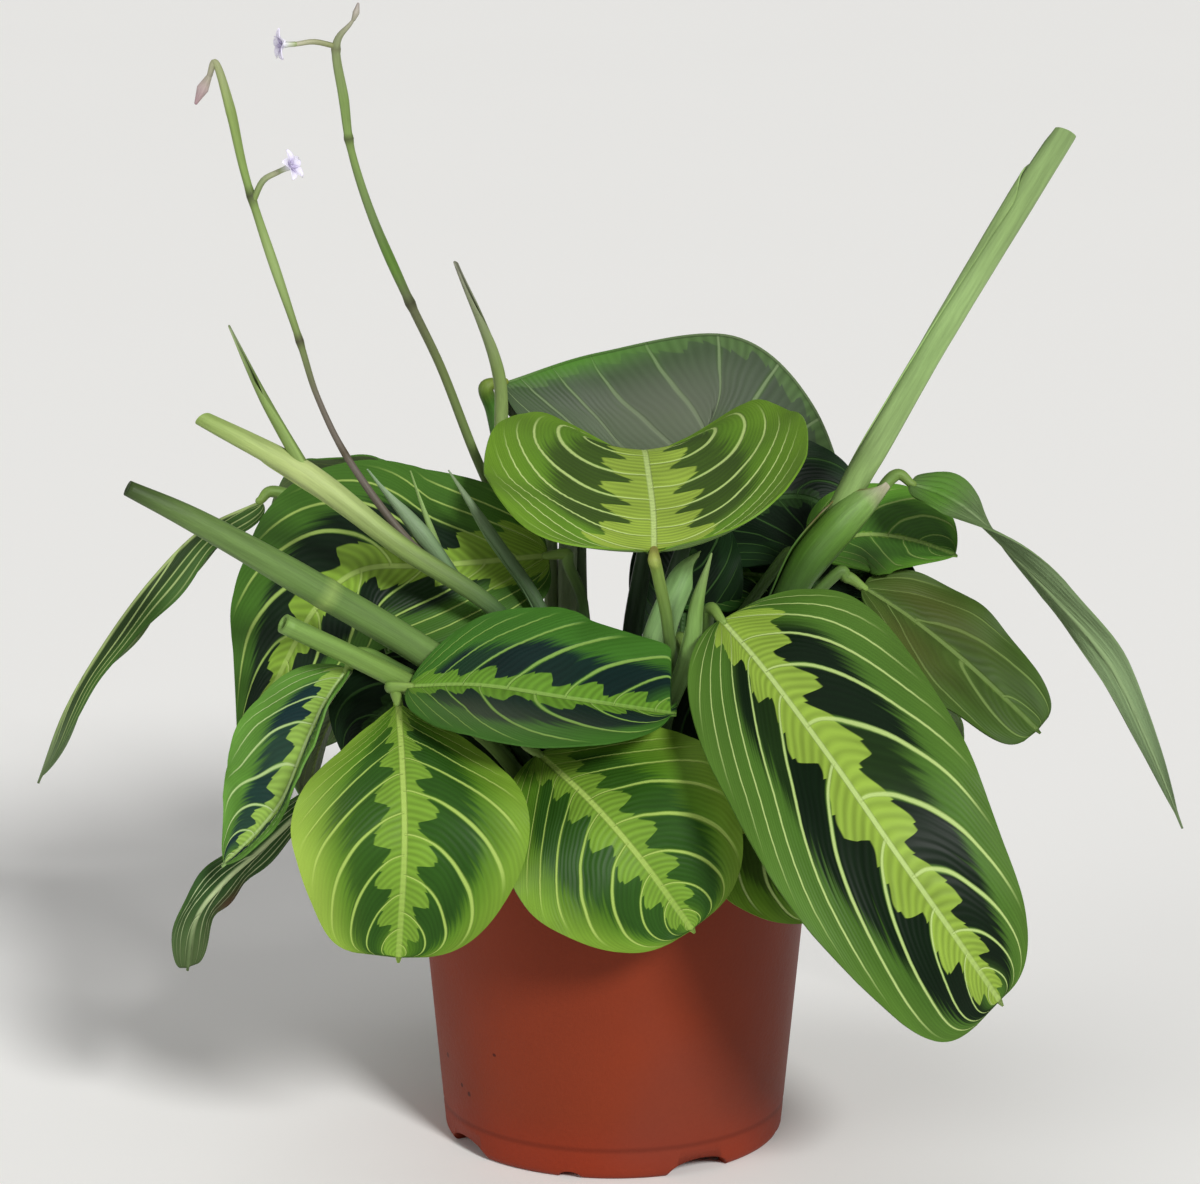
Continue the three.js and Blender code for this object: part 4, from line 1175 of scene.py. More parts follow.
def new_object(name, bm, materials=()):
    """Turns a bmesh into an object of the scene."""
    mesh = bpy.data.meshes.new(name)
    bm.to_mesh(mesh)
    bm.free()
    for material in materials:
        mesh.materials.append(material)
    made = bpy.data.objects.new(name, mesh)
    bpy.context.scene.collection.objects.link(made)
    return made


def finish_piece(name, bm, materials, slot, *nodes):
    """Turns a bmesh into a piece that rides on the body and stands for the given nodes."""
    piece = new_object(name, bm, materials)
    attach(piece, BODY)
    if nodes:
        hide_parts(*nodes)
    return piece


# Blades. The half widths are in millimetres.
TIP_HALF_WIDTH = 0.3
NECK_HALF_WIDTH = 1.3
CUSP_START = 0.982
LOBE_REACH = 0.3
WAVE_SWEEP = 0.12
SIDE_PHASE = 1.9
GROOVE_HALF_WIDTH = 0.9 * MM
GROOVE_DEPTH = 0.25 * MM
UNDER_QUILTING = 0.7


def half_width(leaf, u, side):
    """Half of the blade's width at u, in millimetres: an oval that narrows to a short cusp at the tip."""
    power = math.log(0.5) / math.log(leaf["peak"][side])
    bluntness = leaf["shoulder"] + leaf["taper"][side] * u * u
    width = leaf["widths"][side]
    oval = math.sin(math.pi * min(u / CUSP_START, 1.0) ** power) ** bluntness
    least = NECK_HALF_WIDTH if u < 0.5 else TIP_HALF_WIDTH + width * (1 - u)
    place, reach, depth = leaf["waist"]
    return max(width * oval * (1 - depth * math.exp(-(((u - place) / reach) ** 2))), least)


def blade_row(leaf, u):
    """The midrib's point at u, the way to the tip, the way to the right margin and the way up."""
    ahead = leaf["way"].heading(u)
    up = between([Vector(f) for f in leaf["facing"]], u)
    up = (up - up.dot(ahead) * ahead).normalized()
    return leaf["way"].at(u), ahead, ahead.cross(up), up


def blade_point(leaf, row, u, v):
    """The middle surface of a blade, with its fold, its curl, its waves and the lobes at its base."""
    centre, ahead, right, up = row
    side = 0 if v < 0 else 1
    reach = abs(v)
    width = half_width(leaf, u, side)
    fullness = width / leaf["widths"][side]
    fold = math.radians(on_the_way(leaf["fold"][side], u))
    curl = math.radians(on_the_way(leaf["curl"][side], u)) or 1e-4
    turn = fold + curl * reach
    out = width * (math.sin(turn) - math.sin(fold)) / curl
    rise = width * (math.cos(fold) - math.cos(turn)) / curl
    size, count, phase = leaf["wave"]
    wave = math.sin(math.tau * count * (u - WAVE_SWEEP * reach) + phase + SIDE_PHASE * side)
    lobe = leaf["lobe"] * (width - NECK_HALF_WIDTH) / leaf["widths"][side]
    back = lobe * reach * max(0.0, 1 - u / LOBE_REACH) ** 2
    lift = rise + size * reach * reach * wave * fullness
    return centre + MM * ((-out if v < 0 else out) * right + lift * up - back * ahead), width * MM


def quilting(leaf, settings, u, v):
    """How far the tissue rises at (u, v): it bulges between veins and sinks along them."""
    reach = abs(v)
    side = 0 if v < 0 else 1
    start = u - leaf["sweep"][side] * reach ** (settings.bend + leaf["bend"][side])
    cell = (start + VEIN_CROWDING * math.sin(math.tau * start)) * leaf["veins"] + (0.5 if v > 0 else 0.0)
    phase = cell - math.floor(cell)
    bulge = math.sin(math.pi * phase) ** 0.6
    inner = smoothstep(0.0, 0.2, reach) * smoothstep(0.0, 0.1, u) * smoothstep(1.0, 0.9, u)
    return settings.quilting * (bulge - 0.6) * inner


def wash_at(leaf, u, v):
    """Colour and strength of the washes at (u, v)."""
    total, colour, strength = 0.0, Vector((0, 0, 0)), 0.0
    for at_u, at_v, reach_u, reach_v, code, power in leaf["washes"]:
        share = math.exp(-(((u - at_u) / reach_u) ** 2) - ((v - at_v) / reach_v) ** 2)
        weight = share * power + 1e-9
        total += weight
        colour += weight * Vector(linear(code))
        strength = max(strength, share * power)
    return (*(colour / total), strength) if total else (0, 0, 0, 0)


def lay_out_blade(bm, leaf):
    """Lays the middle surface, with a place, a wash and a number at each vertex, and gives its way up."""
    rows, columns = leaf["rows"], leaf["columns"]
    place = bm.verts.layers.float_vector.new("place")
    wash = bm.verts.layers.float_color.new("wash")
    number = bm.verts.layers.int.new("number")
    along = [0.5 - 0.5 * math.cos(math.pi * i / rows) for i in range(rows + 1)]
    frames = [blade_row(leaf, u) for u in along]
    for vertex, share_across, share_along in grid_places(bm, columns, rows):
        i = round(share_along * rows)
        j = round(share_across * columns)
        u = along[i]
        v = 2 * j / columns - 1
        vertex.co, width = blade_point(leaf, frames[i], u, v)
        vertex[place] = (u, v, v * width)
        vertex[wash] = wash_at(leaf, u, v)
        vertex[number] = i * (columns + 1) + j
    return frames[rows // 2][3]


def ways_out(bm, leaf, number, up):
    """The way out of the upper side at each number. The first and the last row take their neighbour's."""
    rows, columns = leaf["rows"], leaf["columns"]
    bm.normal_update()
    normals = {vertex[number]: vertex.normal.copy() for vertex in bm.verts}
    for row, source in ((0, 1), (rows, rows - 1)):
        for j in range(columns + 1):
            normals[row * (columns + 1) + j] = normals[source * (columns + 1) + columns // 2]
    middle = normals[(rows // 2) * (columns + 1) + columns // 2]
    flip = 1 if middle.dot(up) > 0 else -1
    return {at: normal * flip for at, normal in normals.items()}


def side_offset(leaf, settings, place, below):
    """How far a side lies from the middle surface: quilted, with a groove above and the midrib below."""
    u, v, across = place
    relief = quilting(leaf, settings, u, v)
    half = settings.thickness / 2
    if below:
        ridge = max(0.0, 1 - (across / (settings.rib_width * (1.15 - u))) ** 2) ** 0.5
        return relief * UNDER_QUILTING - half - settings.rib_depth * (1 - 0.85 * u) * ridge
    groove = math.exp(-((across / GROOVE_HALF_WIDTH) ** 2))
    return relief + half - GROOVE_DEPTH * groove * (1 - u)


def build_blade(leaf):
    """One blade: a closed sheet with its upper side first and its underside second."""
    settings = bpy.context.scene.prayer_leaf
    bm = bmesh.new()
    up = lay_out_blade(bm, leaf)
    place = bm.verts.layers.float_vector["place"]
    number = bm.verts.layers.int["number"]
    middle = {vertex[number]: vertex.co.copy() for vertex in bm.verts}
    outward = ways_out(bm, leaf, number, up)
    shell = bmesh.ops.solidify(bm, geom=bm.faces[:], thickness=settings.thickness)
    below = {item for item in shell["geom"] if isinstance(item, bmesh.types.BMVert)}
    under = {item for item in shell["geom"] if isinstance(item, bmesh.types.BMFace)}
    for vertex in bm.verts:
        at = vertex[number]
        vertex.co = middle[at] + outward[at] * side_offset(leaf, settings, vertex[place], vertex in below)
    bmesh.ops.recalc_face_normals(bm, faces=bm.faces[:])
    smooth_faces(bm.faces)
    for face in under:
        face.material_index = 1
    for edge in bm.edges:
        sides = {len({vertex in below for vertex in face.verts}) for face in edge.link_faces}
        edge.smooth = sides != {1, 2}
    bm.verts.layers.int.remove(number)
    look = LOOKS[leaf["look"]]
    materials = [
        leaf_material(leaf["name"] + "_upper", leaf, look, underside=False),
        leaf_material(leaf["name"] + "_under", leaf, look, underside=True),
    ]
    if leaf["extra"]:
        return finish_piece(leaf["name"], bm, materials, "leaf")
    return finish_piece(leaf["name"].replace("blade", "leaf"), bm, materials, "leaf", leaf["name"])


def whole_leaves():
    """Every leaf with the defaults that it doesn't change, its seed and its smooth midrib."""
    leaves = []
    for seed, leaf in enumerate(LEAVES + YOUNG_LEAVES, 1):
        own = {"seed": float(seed), "way": Way(leaf["midrib"]), "extra": leaf in YOUNG_LEAVES}
        leaves.append({**LEAF_DEFAULTS, **leaf, **own})
    return leaves


# Tubes and rolled sheets. A tube's end is a list of rings, from its pole to the tube: how far each is
# pushed out along the path and its share of the radius, both in radii.
ENDS = {
    "flat": ((0.0, 0.0), (0.0, 0.85), (-0.12, 1.0)),
    "round": ((1.0, 0.0), (0.87, 0.5), (0.5, 0.87)),
    "cut": ((-0.1, 0.0), (-0.12, 0.5), (0.0, 0.8), (-0.05, 0.96)),
    "hollow": ((-2.2, 0.0), (-2.2, 0.4), (-0.6, 0.5), (0.0, 0.62), (0.12, 0.8), (0.0, 0.96)),
}
TUBE_SPAN = 2.4 * MM
SHARP_TURN = math.radians(60)

# A clump's heights in millimetres, with its share of the clump radius and its colour at each.
CLUMP_RINGS = (
    (80, 1, "3a3426"), (88, 1, "43402a"), (94, 0.98, "3c4a2c"), (100, 0.8, "34502a"), (106, 0.35, "34502a"),
)
CLUMP_SIDES = 24


def path_frames(way, steps):
    """Point, heading and two ways across at equal steps, turned no more than the curve turns."""
    across = Vector((0.31, 0.17, 0.93))
    frames = []
    for i in range(steps + 1):
        u = i / steps
        ahead = way.heading(u)
        across = (across - across.dot(ahead) * ahead).normalized()
        frames.append((u, way.at(u), ahead, across, ahead.cross(across)))
    return frames


def stem_layers(bm):
    layers = bm.verts.layers
    return (
        layers.float_vector.get("place") or layers.float_vector.new("place"),
        layers.float_color.get("tint") or layers.float_color.new("tint"),
    )


def colour_at(colours, rings, u):
    """The colour laid along a stem at u."""
    colour = between([Vector(linear(code)) for code in colours], u)
    for at, reach, _, code in rings:
        share = math.exp(-(((u - at) / reach) ** 2))
        colour = colour.lerp(Vector(linear(code)), share)
    return opaque(colour)


def add_tube(bm, points, radii, colours, ends=("flat", "round"), rings=(), sides=16):
    """A closed tube of changing radius along a curve, with its ends shaped and rings that swell."""
    way = Way(points)
    steps = max(8, round(way.length() / TUBE_SPAN))
    frames = path_frames(way, steps)
    place, tint = stem_layers(bm)
    first = [(frames[0], -push, share) for push, share in ENDS[ends[0]]]
    last = [(frames[-1], push, share) for push, share in reversed(ENDS[ends[1]])]
    stations = [*first, *((here, 0.0, 1.0) for here in frames), *last]
    rows = len(stations) - 1
    length = way.length()
    made = []
    for vertex, share_round, share_along in grid_places(bm, sides, rows):
        (u, centre, ahead, across, other), push, share = stations[round(share_along * rows)]
        swell = sum((size - 1) * math.exp(-(((u - at) / reach) ** 2)) for at, reach, size, _ in rings)
        radius = between(radii, u) * MM * (1 + swell)
        angle = math.tau * share_round
        round_about = math.cos(angle) * across + math.sin(angle) * other
        vertex.co = centre + ahead * push * radius + round_about * radius * share
        vertex[place] = (u * length, radius * math.cos(angle), radius * math.sin(angle))
        vertex[tint] = colour_at(colours, rings, u)
        made.append(vertex)
    close_tube(bm, made)


def close_tube(bm, vertices):
    """Joins the seam and the poles of a wrapped grid and turns its faces outwards."""
    faces = {face for vertex in vertices for face in vertex.link_faces}
    bmesh.ops.remove_doubles(bm, verts=vertices, dist=1e-7)
    alive = [face for face in faces if face.is_valid]
    bmesh.ops.recalc_face_normals(bm, faces=alive)
    smooth_faces(alive)


def clump_start(name):
    x, y = CLUMPS[name]
    return (x, y, STEM_START)


def stalk_of(leaf):
    """Path and radii of a leaf's stalk, with the knee that a prayer plant has under each blade."""
    base = Vector(leaf["midrib"][0])
    forward = leaf["way"].heading(0.0)
    knee = bpy.context.scene.prayer_stem.knee / MM
    under_blade = tuple(base - knee * 0.5 * forward)
    in_blade = tuple(base + 0.6 * forward)
    path = (clump_start(leaf["clump"]), *leaf["stalk"], under_blade, in_blade)
    thick = leaf["thick"]
    radii = (thick + 0.5, *([thick] * len(leaf["stalk"])), thick + 0.15, 1.2)
    return path, radii


def build_clump(name, leaves, shoots, skin):
    """The joined leaf bases of a clump, with the stalks of its leaves and its young shoots."""
    x, y = CLUMPS[name]
    radius = bpy.context.scene.prayer_stem.clump_radius / MM
    path = [(x, y, height) for height, _, _ in CLUMP_RINGS]
    radii = [radius * share for _, share, _ in CLUMP_RINGS]
    colours = [colour for _, _, colour in CLUMP_RINGS]
    bm = bmesh.new()
    add_tube(bm, path, radii, colours, sides=CLUMP_SIDES)
    for leaf in leaves:
        path, radii = stalk_of(leaf)
        add_tube(bm, path, radii, leaf["stalk_colours"])
    for shoot in shoots:
        path = (clump_start(name), *shoot["path"])
        add_tube(bm, path, shoot["radii"], shoot["colours"])
    return finish_piece("stalks_" + name, bm, [skin], "stem", "stems_" + name)


def path_of(stem):
    """The path of a stem or a rolled leaf, from its clump where it is rooted there."""
    return (clump_start(stem["clump"]), *stem["path"]) if stem["rooted"] else stem["path"]


def build_stem(stem, skin):
    bm = bmesh.new()
    add_tube(bm, path_of(stem), stem["radii"], stem["colours"], stem["ends"], stem["rings"])
    return finish_piece(stem["name"], bm, [skin], "stem", "stems_" + stem["clump"])


# Rolled sheets: the core's share of the radius and its spans, the innermost layer's share of the radius,
# how far the sheet flares and slants where it is open, and the share of its turns that it loses there.
CORE_SHARE = 0.62
CORE_SPANS = 12
CORE_SIDES = 12
ROLL_COLUMNS = 40
ROLL_SPAN = 2.0 * MM
INNERMOST = 0.78
FLARE = 0.05
SLANT = 0.05
SLANT_MIDDLE = 0.35
UNWINDING = 0.62


def hem_share(share_round, u):
    """How much of the hem's colour shows: along both edges of the sheet, near its mouth."""
    at_edge = smoothstep(0.44, 0.48, abs(share_round - 0.5))
    return at_edge * smoothstep(0.3, 0.45, u) * smoothstep(1, 0.75, u)


def add_roll_core(bm, roll, way):
    """The innermost turns as one solid core, which ends where the sheet starts to open."""
    stops = [i / CORE_SPANS * roll["opening"] for i in range(CORE_SPANS + 1)]
    path = [tuple(way.at(u) / MM) for u in stops]
    radii = [between(roll["radii"], u) * CORE_SHARE for u in stops]
    colours = [roll["colours"][0], roll["colours"][len(roll["colours"]) // 2]]
    add_tube(bm, path, radii, colours, sides=CORE_SIDES)


def build_roll(roll, skin):
    """A rolled leaf or a sheath: a sheet wound round its path, which opens to a slant at the top."""
    settings = bpy.context.scene.prayer_stem
    way = Way(path_of(roll))
    length = way.length()
    rows = max(16, round(length / ROLL_SPAN))
    frames = path_frames(way, rows)
    bm = bmesh.new()
    place, tint = stem_layers(bm)
    for vertex, share_round, share_along in grid_places(bm, ROLL_COLUMNS, rows):
        u, centre, ahead, across, other = frames[round(share_along * rows)]
        open_share = smoothstep(roll["opening"], 1.0, u)
        turns = roll["turns"] * (1 - UNWINDING * open_share)
        angle = math.tau * (roll["start"] + roll["twist"] * u + turns * (share_round - 0.5))
        layer = INNERMOST + (1 - INNERMOST) * share_round + FLARE * open_share
        radius = between(roll["radii"], u) * MM * layer
        slant = (share_round - SLANT_MIDDLE) ** 2 * open_share * SLANT * length
        round_about = math.cos(angle) * across + math.sin(angle) * other
        vertex.co = centre - ahead * slant + round_about * radius
        vertex[place] = (u * length, radius * math.cos(angle), radius * math.sin(angle))
        # Painted shade: the inner turns are darker than the outer ones.
        colour = Vector(colour_at(roll["colours"], (), u)[:3]) * (0.8 + 0.26 * share_round)
        if "hem" in roll:
            colour = colour.lerp(Vector(linear(roll["hem"])), hem_share(share_round, u))
        vertex[tint] = opaque(colour)
    bmesh.ops.recalc_face_normals(bm, faces=bm.faces[:])
    bmesh.ops.solidify(bm, geom=bm.faces[:], thickness=settings.sheet)
    bmesh.ops.recalc_face_normals(bm, faces=bm.faces[:])
    smooth_faces(bm.faces)
    for edge in bm.edges:
        edge.smooth = not edge.is_manifold or edge.calc_face_angle() < SHARP_TURN
    add_roll_core(bm, roll, way)
    return finish_piece(roll["name"], bm, [skin], "stem", "stems_" + roll["clump"])


# Flowers. The tube's radii are in millimetres.
PETALS = 5
PETAL_SPANS = 8
PETAL_THICKNESS = 0.16 * MM
TUBE_RADII = (0.75, 0.8, 1.1)
TUBE_COLOURS = ("8f9c6c", "bcc0b0", "d8d6e2")
TUBE_SIDES = 12


def add_petal(bm, centre, axis, out, settings):
    """A cupped petal that leaves the throat along the axis and bends outwards."""
    place, _ = stem_layers(bm)
    side = axis.cross(out)
    made = grid_places(bm, PETAL_SPANS, PETAL_SPANS)
    for vertex, share_across, along in made:
        across = 2 * share_across - 1
        width = settings.petal_width / 2 * math.sin(math.pi * min(0.12 + 0.88 * along, 0.97)) ** 0.6
        reach = settings.petal_length * along
        rise = 0.35 * settings.petal_length * math.sin(math.pi * 0.62 * along) - 0.12 * reach
        cup = 0.28 * settings.petal_width * across * across * (1 - 0.5 * along)
        vertex.co = centre + out * (0.3 * MM + reach) + axis * (rise + cup) + side * width * across
        vertex[place] = (along, across, 0.0)
    for vertex, _, _ in made:
        smooth_faces(vertex.link_faces)


def build_bloom(bloom, materials):
    """A flower: a pale tube in a small calyx, and its petals."""
    settings = bpy.context.scene.prayer_flower
    foot, mouth = Vector(bloom["foot"]), Vector(bloom["mouth"])
    axis = (mouth - foot).normalized()
    out = Vector((0, 0, 1)).cross(axis).normalized()
    bm = bmesh.new()
    for i in range(PETALS):
        turn = Matrix.Rotation(math.tau * (i + 0.25) / PETALS, 3, axis)
        add_petal(bm, (mouth - 0.4 * axis) * MM, axis, turn @ out, settings)
    piece = finish_piece(bloom["name"] + "_petals", bm, materials[:1], "flower", bloom["name"])
    shell = piece.modifiers.new("Petal", "SOLIDIFY")
    shell.thickness = PETAL_THICKNESS
    shell.offset = 0.0
    bm = bmesh.new()
    path = (foot, foot.lerp(mouth, 0.5), mouth)
    add_tube(bm, path, TUBE_RADII, TUBE_COLOURS, ("round", "hollow"), sides=TUBE_SIDES)
    finish_piece(bloom["name"] + "_tube", bm, materials[1:], "flower", bloom["name"])


def build_bud(bud, skin):
    bm = bmesh.new()
    add_tube(bm, bud["path"], bud["radii"], bud["colours"], ("round", "round"))
    return finish_piece("flower_" + bud["name"], bm, [skin], "flower", bud["name"])


def wall_radius(settings, z):
    """Outer radius of the pot's wall below the lip."""
    low, high = 3 * MM, settings.height - LIP_HEIGHT
    share = (z - low) / (high - low)
    return settings.foot_radius + share * (settings.rim_radius - LIP_STEP - settings.foot_radius)


def arc(centre, reach, start, end, steps):
    """An elliptical arc as [radius, height] points, between two angles in degrees."""
    angles = [math.radians(start + (end - start) * i / steps) for i in range(steps + 1)]
    return [(centre[0] + reach[0] * math.cos(a), centre[1] + reach[1] * math.sin(a)) for a in angles]


def pot_profile(settings):
    """The pot's section as [radius, height] points, from the middle of its underside to its inside."""
    foot, rim, wall = settings.foot_radius, settings.rim_radius, settings.wall
    top, lip = settings.height, settings.height - LIP_HEIGHT
    floor_top = FLOOR_BOTTOM + FLOOR_THICKNESS
    ring_inside = foot - FOOT_WIDTH - FOOT_DRAFT
    under = [
        (0, FLOOR_BOTTOM), (ring_inside - MM, FLOOR_BOTTOM), (ring_inside, FLOOR_BOTTOM - 0.3 * MM),
        (foot - FOOT_WIDTH, 0),
    ]
    corner = arc((foot - FOOT_ROUNDING[0], FOOT_ROUNDING[1]), FOOT_ROUNDING, -90, 0, 6)
    lines = []
    for z, out in WALL_LINES:
        for height, step in ((z - LINE_REACH, 0), (z, out), (z + LINE_REACH, 0)):
            lines.append((wall_radius(settings, height) + step, height))
    step_out = [
        (rim - LIP_STEP, lip - 0.3 * MM), (rim - LIP_STEP + 0.25 * MM, lip),
        (rim - 0.3 * MM, lip + 0.3 * MM), (rim, lip + 0.9 * MM),
    ]
    bead = arc((rim - BEAD_RADIUS, top - BEAD_RADIUS), (BEAD_RADIUS, BEAD_RADIUS), 0, 90, 3)
    inside = [
        (rim - wall + 0.2 * MM, top), (rim - wall, top - 0.3 * MM), (rim - wall, lip + 1.2 * MM),
        (rim - LIP_STEP - wall, lip - 0.2 * MM),
    ]
    bend = arc((foot - wall - FLOOR_BEND, floor_top + FLOOR_BEND), (FLOOR_BEND, FLOOR_BEND), 0, -90, 3)
    return [*under, *corner, *lines, *step_out, *bead, *inside, *bend, (0, floor_top)]


def spin_profile(bm, profile, steps):
    """Turns a profile that starts and ends on the axis into a closed solid."""
    points = [bm.verts.new((r, 0, z)) for r, z in profile]
    edges = [bm.edges.new(pair) for pair in zip(points, points[1:])]
    bmesh.ops.spin(
        bm, geom=points + edges, cent=(0, 0, 0), axis=(0, 0, 1), angle=math.tau, steps=steps,
        use_merge=True,
    )
    bmesh.ops.remove_doubles(bm, verts=bm.verts[:], dist=1e-6)
    bmesh.ops.recalc_face_normals(bm, faces=bm.faces[:])
    smooth_faces(bm.faces)


def pot_cutters(settings):
    """The arches of the foot ring and the drain holes, as solids to cut away."""
    bm = bmesh.new()
    for i in range(360 // ARCH_PITCH):
        half, height = ARCHES[i % 2]
        turn = Matrix.Rotation(math.radians(ARCH_START - i * ARCH_PITCH), 4, "Z")
        lie = Matrix.Rotation(math.pi / 2, 4, "X")
        shape = Matrix.Diagonal((half, 1, height, 1))
        move = Matrix.Translation((0, -settings.foot_radius, 0))
        bmesh.ops.create_cone(
            bm, cap_ends=True, segments=CUTTER_SIDES, radius1=1, radius2=1, depth=4 * FOOT_WIDTH,
            matrix=turn @ move @ shape @ lie,
        )
    for i in range(DRAIN_HOLES):
        angle = math.tau * i / DRAIN_HOLES
        centre = (DRAIN_CIRCLE * math.cos(angle), DRAIN_CIRCLE * math.sin(angle), FLOOR_BOTTOM)
        bmesh.ops.create_cone(
            bm, cap_ends=True, segments=CUTTER_SIDES, radius1=DRAIN_RADIUS, radius2=DRAIN_RADIUS,
            depth=5 * FLOOR_THICKNESS, matrix=Matrix.Translation(centre),
        )
    return new_object("pot_cutters", bm)


def cut_away(piece, cutters):
    """Cuts the cutters out of a piece and removes them."""
    cut = piece.modifiers.new("Cut", "BOOLEAN")
    cut.operation = "DIFFERENCE"
    cut.solver = "EXACT"
    cut.object = cutters
    graph = bpy.context.evaluated_depsgraph_get()
    solid = bpy.data.meshes.new_from_object(piece.evaluated_get(graph))
    piece.modifiers.remove(cut)
    piece.data = solid
    bpy.data.objects.remove(cutters)


def soil_profile(settings, pot):
    """The soil's section as [radius, height] points, from its underside to the middle of its top."""
    bottom = FLOOR_BOTTOM + FLOOR_THICKNESS + SOIL_LIFT
    corner = bottom + SOIL_CORNER
    gap = pot.wall + SOIL_GAP
    inside = wall_radius(pot, settings.top) - gap
    side = [
        (0, bottom), (wall_radius(pot, bottom) - gap - SOIL_CORNER, bottom),
        (wall_radius(pot, corner) - gap, corner), (inside, settings.top - 2 * MM),
    ]
    return side + [(inside * (1 - i / SOIL_RINGS), settings.top) for i in range(SOIL_RINGS + 1)]


def soil_height(settings, x, y):
    """Height of the lumpy, slightly mounded soil."""
    share = min(math.hypot(x, y) / SOIL_REACH, 1.0)
    mm_x, mm_y = x / MM, y / MM
    lump = math.sin(0.37 * mm_x + 1) * math.cos(0.33 * mm_y) + 0.6 * math.sin(0.71 * mm_y - 0.5 * mm_x)
    fine = noise.noise(Vector((x, y, 0.2)) * 420)
    return settings.top + settings.mound * (1 - share * share) + (0.5 * lump + 0.8 * fine) * MM


def build_crumbs(settings):
    """Loose crumbs and bits of bark on the soil, half sunk in it."""
    draw = random.Random(CRUMB_SEED)
    noise.seed_set(CRUMB_SEED)
    bm = bmesh.new()
    for _ in range(settings.crumbs):
        angle = draw.uniform(0, math.tau)
        distance = CRUMB_REACH * math.sqrt(draw.random())
        x, y = distance * math.cos(angle), distance * math.sin(angle)
        size = settings.crumb_size * draw.uniform(0.4, 1.5)
        shares = (draw.uniform(0.8, 1.9), draw.uniform(0.6, 1.1), draw.uniform(0.4, 0.8), 1)
        turn = Matrix.Rotation(draw.uniform(0, math.tau), 4, "Z")
        tilt = Matrix.Rotation(draw.uniform(-0.5, 0.5), 4, "X")
        centre = Matrix.Translation((x, y, soil_height(settings, x, y)))
        matrix = centre @ turn @ tilt @ Matrix.Diagonal(shares)
        crumb = bmesh.ops.create_icosphere(bm, subdivisions=1, radius=size, matrix=matrix)
        for vertex in crumb["verts"]:
            vertex.co += noise.noise_vector(vertex.co * 900) * size * 0.35
    return bm


class PieceOperator:
    """What the operators share."""

    bl_options = {"REGISTER", "UNDO"}


class PRAYER_OT_pot(PieceOperator, bpy.types.Operator):
    """Builds the pot: foot ring with arches, drain holes, flared wall and stepped lip"""

    bl_idname = "prayer.pot"
    bl_label = "Pot"

    def execute(self, context):
        settings = context.scene.prayer_pot
        bm = bmesh.new()
        spin_profile(bm, pot_profile(settings), settings.steps)
        pot = finish_piece("nursery_pot", bm, [pot_material()], "pot", "pot")
        cut_away(pot, pot_cutters(settings))
        return {"FINISHED"}


class PRAYER_OT_soil(PieceOperator, bpy.types.Operator):
    """Builds the soil and the loose crumbs on it"""

    bl_idname = "prayer.soil"
    bl_label = "Soil"

    def execute(self, context):
        settings = context.scene.prayer_soil
        bm = bmesh.new()
        spin_profile(bm, soil_profile(settings, context.scene.prayer_pot), SOIL_STEPS)
        for vertex in bm.verts:
            if vertex.co.z > settings.top - MM:
                vertex.co.z = soil_height(settings, vertex.co.x, vertex.co.y)
        finish = soil_material()
        finish_piece("soil_bed", bm, [finish], "soil", "soil")
        finish_piece("soil_crumbs", build_crumbs(settings), [finish], "soil", "soil")
        return {"FINISHED"}


class PRAYER_OT_blades(PieceOperator, bpy.types.Operator):
    """Builds every leaf blade with its markings"""

    bl_idname = "prayer.blades"
    bl_label = "Leaf Blades"

    def execute(self, context):
        for leaf in whole_leaves():
            build_blade(leaf)
        return {"FINISHED"}


class PRAYER_OT_stems(PieceOperator, bpy.types.Operator):
    """Builds the clumps with their leaf stalks, the cut and flower stalks, rolled leaves and sheaths"""

    bl_idname = "prayer.stems"
    bl_label = "Stems"

    def execute(self, context):
        skin = stem_material()
        leaves = whole_leaves()
        for name in CLUMPS:
            own = [leaf for leaf in leaves if leaf["clump"] == name]
            shoots = [shoot for shoot in SHOOTS if shoot["clump"] == name]
            build_clump(name, own, shoots, skin)
        for stem in STEMS:
            build_stem({**STEM_DEFAULTS, **stem}, skin)
        for roll in ROLLS:
            build_roll({**ROLL_DEFAULTS, **roll}, skin)
        return {"FINISHED"}


class PRAYER_OT_flowers(PieceOperator, bpy.types.Operator):
    """Builds the two open flowers and the two buds"""

    bl_idname = "prayer.flowers"
    bl_label = "Flowers"

    def execute(self, context):
        skin = bpy.data.materials["stem_skin"]
        petals = petal_material()
        for bloom in BLOOMS:
            build_bloom(bloom, [petals, skin])
        for bud in BUDS:
            build_bud(bud, skin)
        return {"FINISHED"}


CAMERA_TARGET = Vector((-0.004, 0, 0.161))
SENSOR_WIDTH = 36


def place_camera(settings):
    data = bpy.data.cameras.new("camera")
    data.lens = settings.lens
    data.sensor_width = SENSOR_WIDTH
    camera = bpy.data.objects.new("camera", data)
    back = Vector((0, -math.cos(settings.elevation), math.sin(settings.elevation)))
    camera.location = CAMERA_TARGET + back * settings.distance
    camera.rotation_euler = (math.pi / 2 - settings.elevation, 0, 0)
    bpy.context.scene.collection.objects.link(camera)
    bpy.context.scene.camera = camera


def lay_floor(settings):
    bm = bmesh.new()
    bmesh.ops.create_grid(bm, x_segments=8, y_segments=8, size=settings.floor_size / 2)
    new_object("floor", bm, [floor_material()])


def distant_light(name, direction, strength, softness):
    """A large soft light, far off in the given direction."""
    data = bpy.data.lights.new(name, "SUN")
    data.energy = strength
    data.angle = math.radians(softness)
    lamp = bpy.data.objects.new(name, data)
    lamp.location = Vector(direction) * 2
    lamp.rotation_euler = Vector(direction).to_track_quat("Z", "Y").to_euler()
    bpy.context.scene.collection.objects.link(lamp)


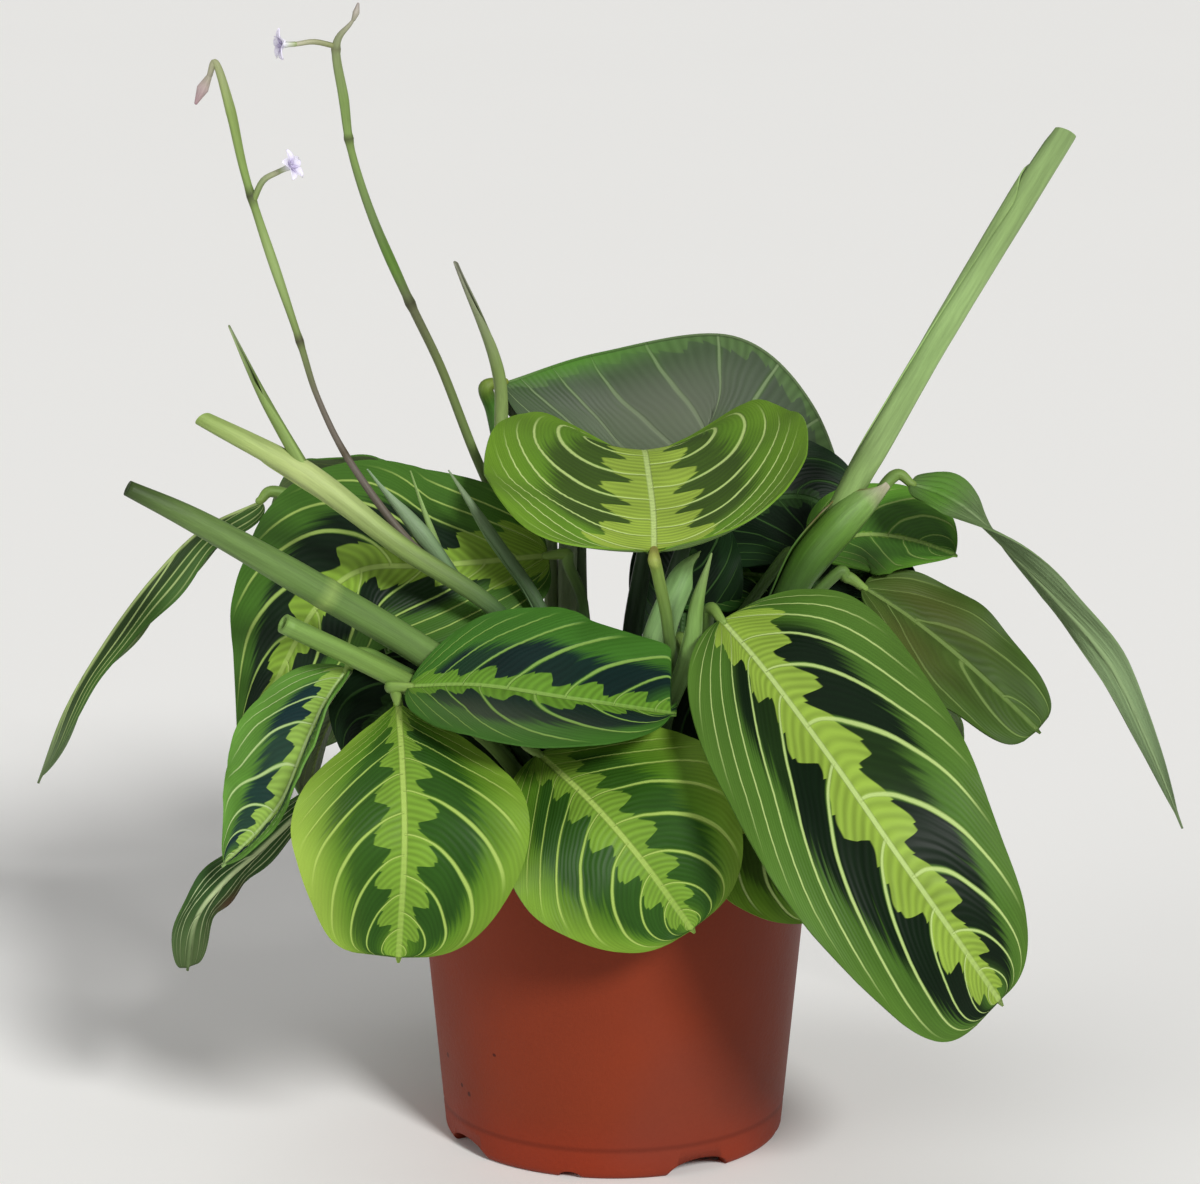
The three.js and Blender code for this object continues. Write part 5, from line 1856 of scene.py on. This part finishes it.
def light_surround(settings):
    world = bpy.data.worlds.new("surround")
    world.use_nodes = True
    background = world.node_tree.nodes["Background"]
    background.inputs["Color"].default_value = (1, 1, 1, 1)
    background.inputs["Strength"].default_value = settings.world
    bpy.context.scene.world = world


class PRAYER_OT_stage(PieceOperator, bpy.types.Operator):
    """Sets up the camera, the soft lights and the pale floor"""

    bl_idname = "prayer.stage"
    bl_label = "Stage"

    def execute(self, context):
        settings = context.scene.prayer_stage
        place_camera(settings)
        lay_floor(settings)
        distant_light("key", (0.38, -0.77, 0.51), settings.key_power, 12)
        distant_light("fill", (-0.8, -0.55, 0.24), settings.fill_power, 40)
        distant_light("top", (-0.25, -0.1, 0.96), settings.top_power, 40)
        light_surround(settings)
        context.scene.view_settings.view_transform = "Standard"
        return {"FINISHED"}


class PRAYER_PT_panel(bpy.types.Panel):
    """Lists the pieces of the plant"""

    bl_idname = "PRAYER_PT_panel"
    bl_label = "Prayer Plant"
    bl_space_type = "VIEW_3D"
    bl_region_type = "UI"
    bl_category = "Prayer Plant"

    def draw(self, context):
        for operator in OPERATORS:
            self.layout.operator(operator.bl_idname)


SETTINGS = {
    "prayer_pot": PotSettings,
    "prayer_soil": SoilSettings,
    "prayer_leaf": LeafSettings,
    "prayer_stem": StemSettings,
    "prayer_flower": FlowerSettings,
    "prayer_stage": StageSettings,
}
OPERATORS = (
    PRAYER_OT_stage, PRAYER_OT_pot, PRAYER_OT_soil, PRAYER_OT_blades, PRAYER_OT_stems, PRAYER_OT_flowers,
)


def register():
    for group in SETTINGS.values():
        bpy.utils.register_class(group)
    for name, group in SETTINGS.items():
        setattr(bpy.types.Scene, name, PointerProperty(type=group))
    for operator in OPERATORS:
        bpy.utils.register_class(operator)
    bpy.utils.register_class(PRAYER_PT_panel)


def unregister():
    bpy.utils.unregister_class(PRAYER_PT_panel)
    for operator in reversed(OPERATORS):
        bpy.utils.unregister_class(operator)
    for name, group in SETTINGS.items():
        delattr(bpy.types.Scene, name)
        bpy.utils.unregister_class(group)


def main():
    register()
    build_mottle_group()
    build_marking_group()
    bpy.ops.prayer.stage()
    bpy.ops.prayer.pot()
    bpy.ops.prayer.soil()
    bpy.ops.prayer.blades()
    bpy.ops.prayer.stems()
    bpy.ops.prayer.flowers()


if __name__ == "__main__":
    main()
